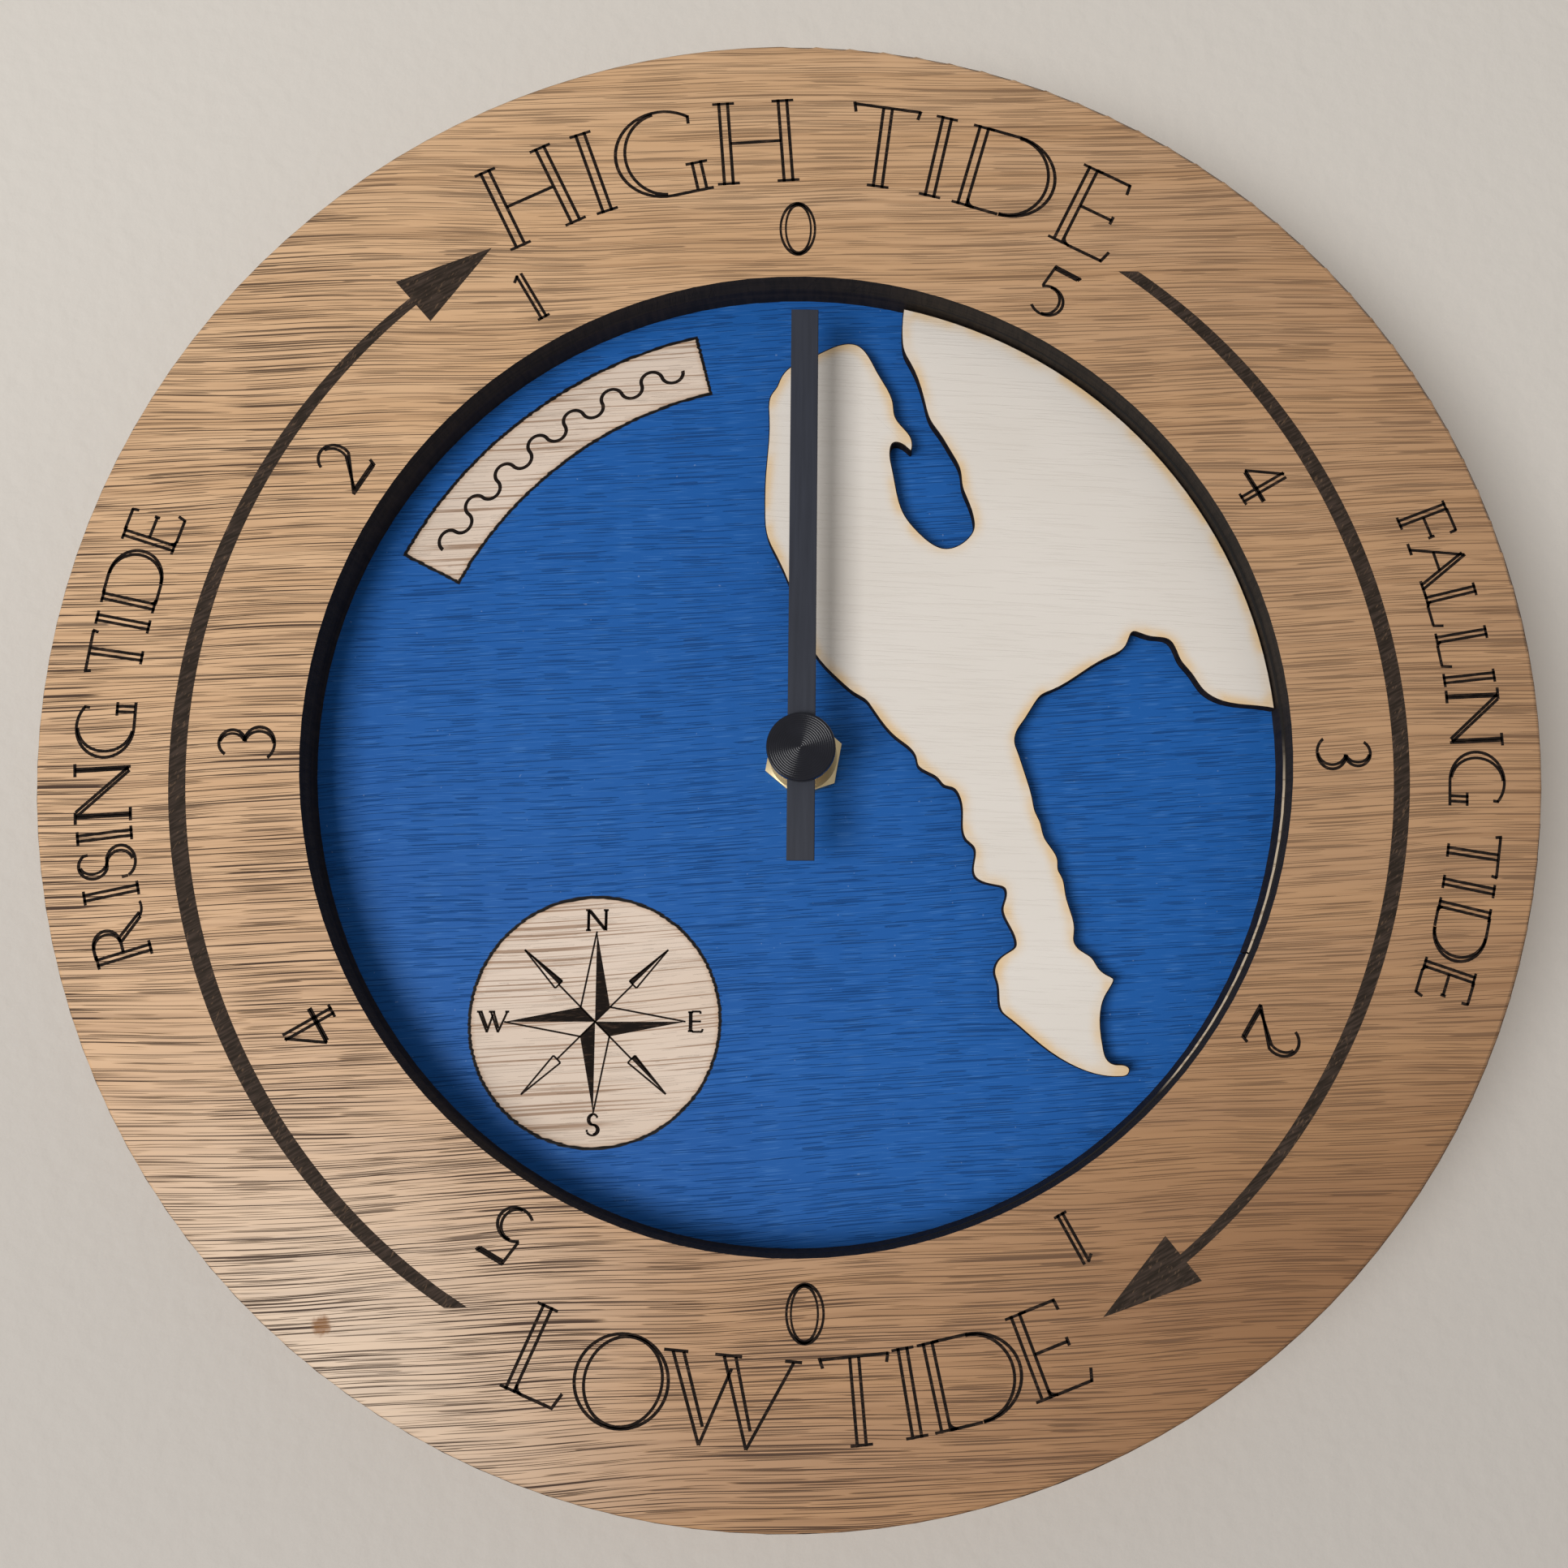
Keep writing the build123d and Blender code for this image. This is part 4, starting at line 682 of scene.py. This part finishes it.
# Battery cell: a steel can in a plain plastic sleeve, dark and, at the end with the nub, pale. It is pressed
# between the two contact strips in the bay.
sleeve_change = (0.0118, 0.0122)
sleeve, tree, shader = new_finish("cell_sleeve", 0.35)
place = add(tree, "ShaderNodeTexCoord", {}, out="Object")
along = add(tree, "ShaderNodeSeparateXYZ", {0: place}, out=0)
scuffs = speckle(tree, (0.012, 0.002, 0.002), detail=3.0)
dark = mixed(tree, scuffs, tone("232528"), tone("33363b"))
pale = mixed(tree, scuffs, tone("b7b3aa"), tone("cac6bd"))
sleeve_colour = mixed(tree, between(tree, along, *sleeve_change), dark, pale)
tree.links.new(sleeve_colour, shader.inputs["Base Color"])
put_on(sleeve, "battery_cell")

# Hand: a flat bar stamped from thin metal, with square ends, coated a dark satin grey and faintly brushed
# along its length. It sits on the collet.
coated, tree, shader = new_finish("hand_metal", 0.45, sheen=0.22)
brushing_and_painted_highlight = speckle(tree, (0.0006, 0.0006, 0.012), detail=3.0)
tree.links.new(mixed(tree, brushing_and_painted_highlight, tone("292b33"), tone("363943")), shader.inputs["Base Color"])
tree.links.new(math(tree, "MULTIPLY_ADD", brushing_and_painted_highlight, 0.15, 0.34), shader.inputs["Roughness"])
put_on(coated, "tide_hand")

# Cap: a black plastic disc with fine concentric grooves, pressed by its spigot into the collet over the
# middle of the hand. One outline from the spigot to the middle of the face is spun round.
cap_radius = 0.0057
cap_back = -0.0327
cap_front = -0.0345
cap_round = 0.0003
groove_count = 15
groove_depth = 0.00004
groove_crest = 0.3
groove_floor = 0.65
cap_steps = 72
spigot_radius = 0.0025
spigot_back = -0.0321
bm = bmesh.new()
flat_radius = cap_radius - cap_round
profile = [(0.0, spigot_back), (spigot_radius, spigot_back), (spigot_radius, cap_back),
           (cap_radius, cap_back), (cap_radius, cap_front + cap_round),
           (flat_radius + cap_round * 0.7, cap_front + cap_round * 0.3)]
pitch = flat_radius / groove_count
for groove in range(groove_count):
    outer = flat_radius - groove * pitch
    profile += [(outer, cap_front), (outer - pitch * groove_crest, cap_front),
                (outer - pitch * groove_floor, cap_front + groove_depth)]
profile += [(0.0, cap_front)]
verts = [bm.verts.new((shaft.x + r, y, shaft.z)) for r, y in profile]
edges = [bm.edges.new(pair) for pair in zip(verts, verts[1:])]
bmesh.ops.spin(bm, geom=verts + edges, cent=shaft, axis=(0, 1, 0), dvec=(0, 0, 0), angle=2 * pi,
               steps=cap_steps, use_duplicate=False, use_merge=True)
bmesh.ops.remove_doubles(bm, verts=bm.verts, dist=weld)
bmesh.ops.recalc_face_normals(bm, faces=bm.faces)
gloss, tree, shader = new_finish("cap_plastic", 0.3, sheen=0.2)
wiped = speckle(tree, (0.003, 0.003, 0.003), detail=3.0)
tree.links.new(mixed(tree, wiped, tone("16161b"), tone("202128")), shader.inputs["Base Color"])
tree.links.new(math(tree, "MULTIPLY_ADD", wiped, 0.12, 0.16), shader.inputs["Roughness"])
cap = piece("hand_cap_grooved", bm, gloss, "hand_group")
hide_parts("hand_cap")

# Light: soft daylight from a wide window at the left, lower than the clock, and a pale room all round. A
# second window behind the wall shows the clock's back.
windows = {
    "window": {"width": 0.75, "height": 0.7, "watts": 18.0, "place": (-0.70, -1.38, -0.40)},
    "rear_window": {"width": 0.7, "height": 0.7, "watts": 14, "place": (-0.5, 1.3, 0.35)},
}
for name, opening in windows.items():
    daylight = bpy.data.lights.new(name, "AREA")
    daylight.shape = "RECTANGLE"
    daylight.size = opening["width"]
    daylight.size_y = opening["height"]
    daylight.energy = opening["watts"]
    pane = bpy.data.objects.new(name, daylight)
    pane.location = opening["place"]
    pane.rotation_euler = (shaft - pane.location).to_track_quat("-Z", "Y").to_euler()
    bpy.context.scene.collection.objects.link(pane)
room = bpy.data.worlds.new("room")
bpy.context.scene.world = room
room.use_nodes = True
room.node_tree.nodes["Background"].inputs["Color"].default_value = (1.0, 0.985, 0.965, 1.0)
room.node_tree.nodes["Background"].inputs["Strength"].default_value = 0.40

# Camera: close in front of the clock, a little below and to the right of the shaft, looking slightly up. Its
# place and lens come from the rim's and the opening's circles.
lens = bpy.data.cameras.new("camera")
lens.sensor_width = 36
lens.lens = 36.06
lens.shift_x = -0.0849
lens.shift_y = 0.0145
lens.clip_start = 0.01
camera = bpy.data.objects.new("camera", lens)
right = Vector((0.99940, -0.03469, 0.0)).normalized()
back = Vector((-0.03447, -0.99290, -0.11385)).normalized()
upward = back.cross(right)
camera.matrix_world = Matrix((right, upward, back)).transposed().to_4x4()
camera.location = (0.01022, -0.28955, -0.07413)
bpy.context.scene.collection.objects.link(camera)
bpy.context.scene.camera = camera
bpy.context.scene.view_settings.view_transform = "Standard"
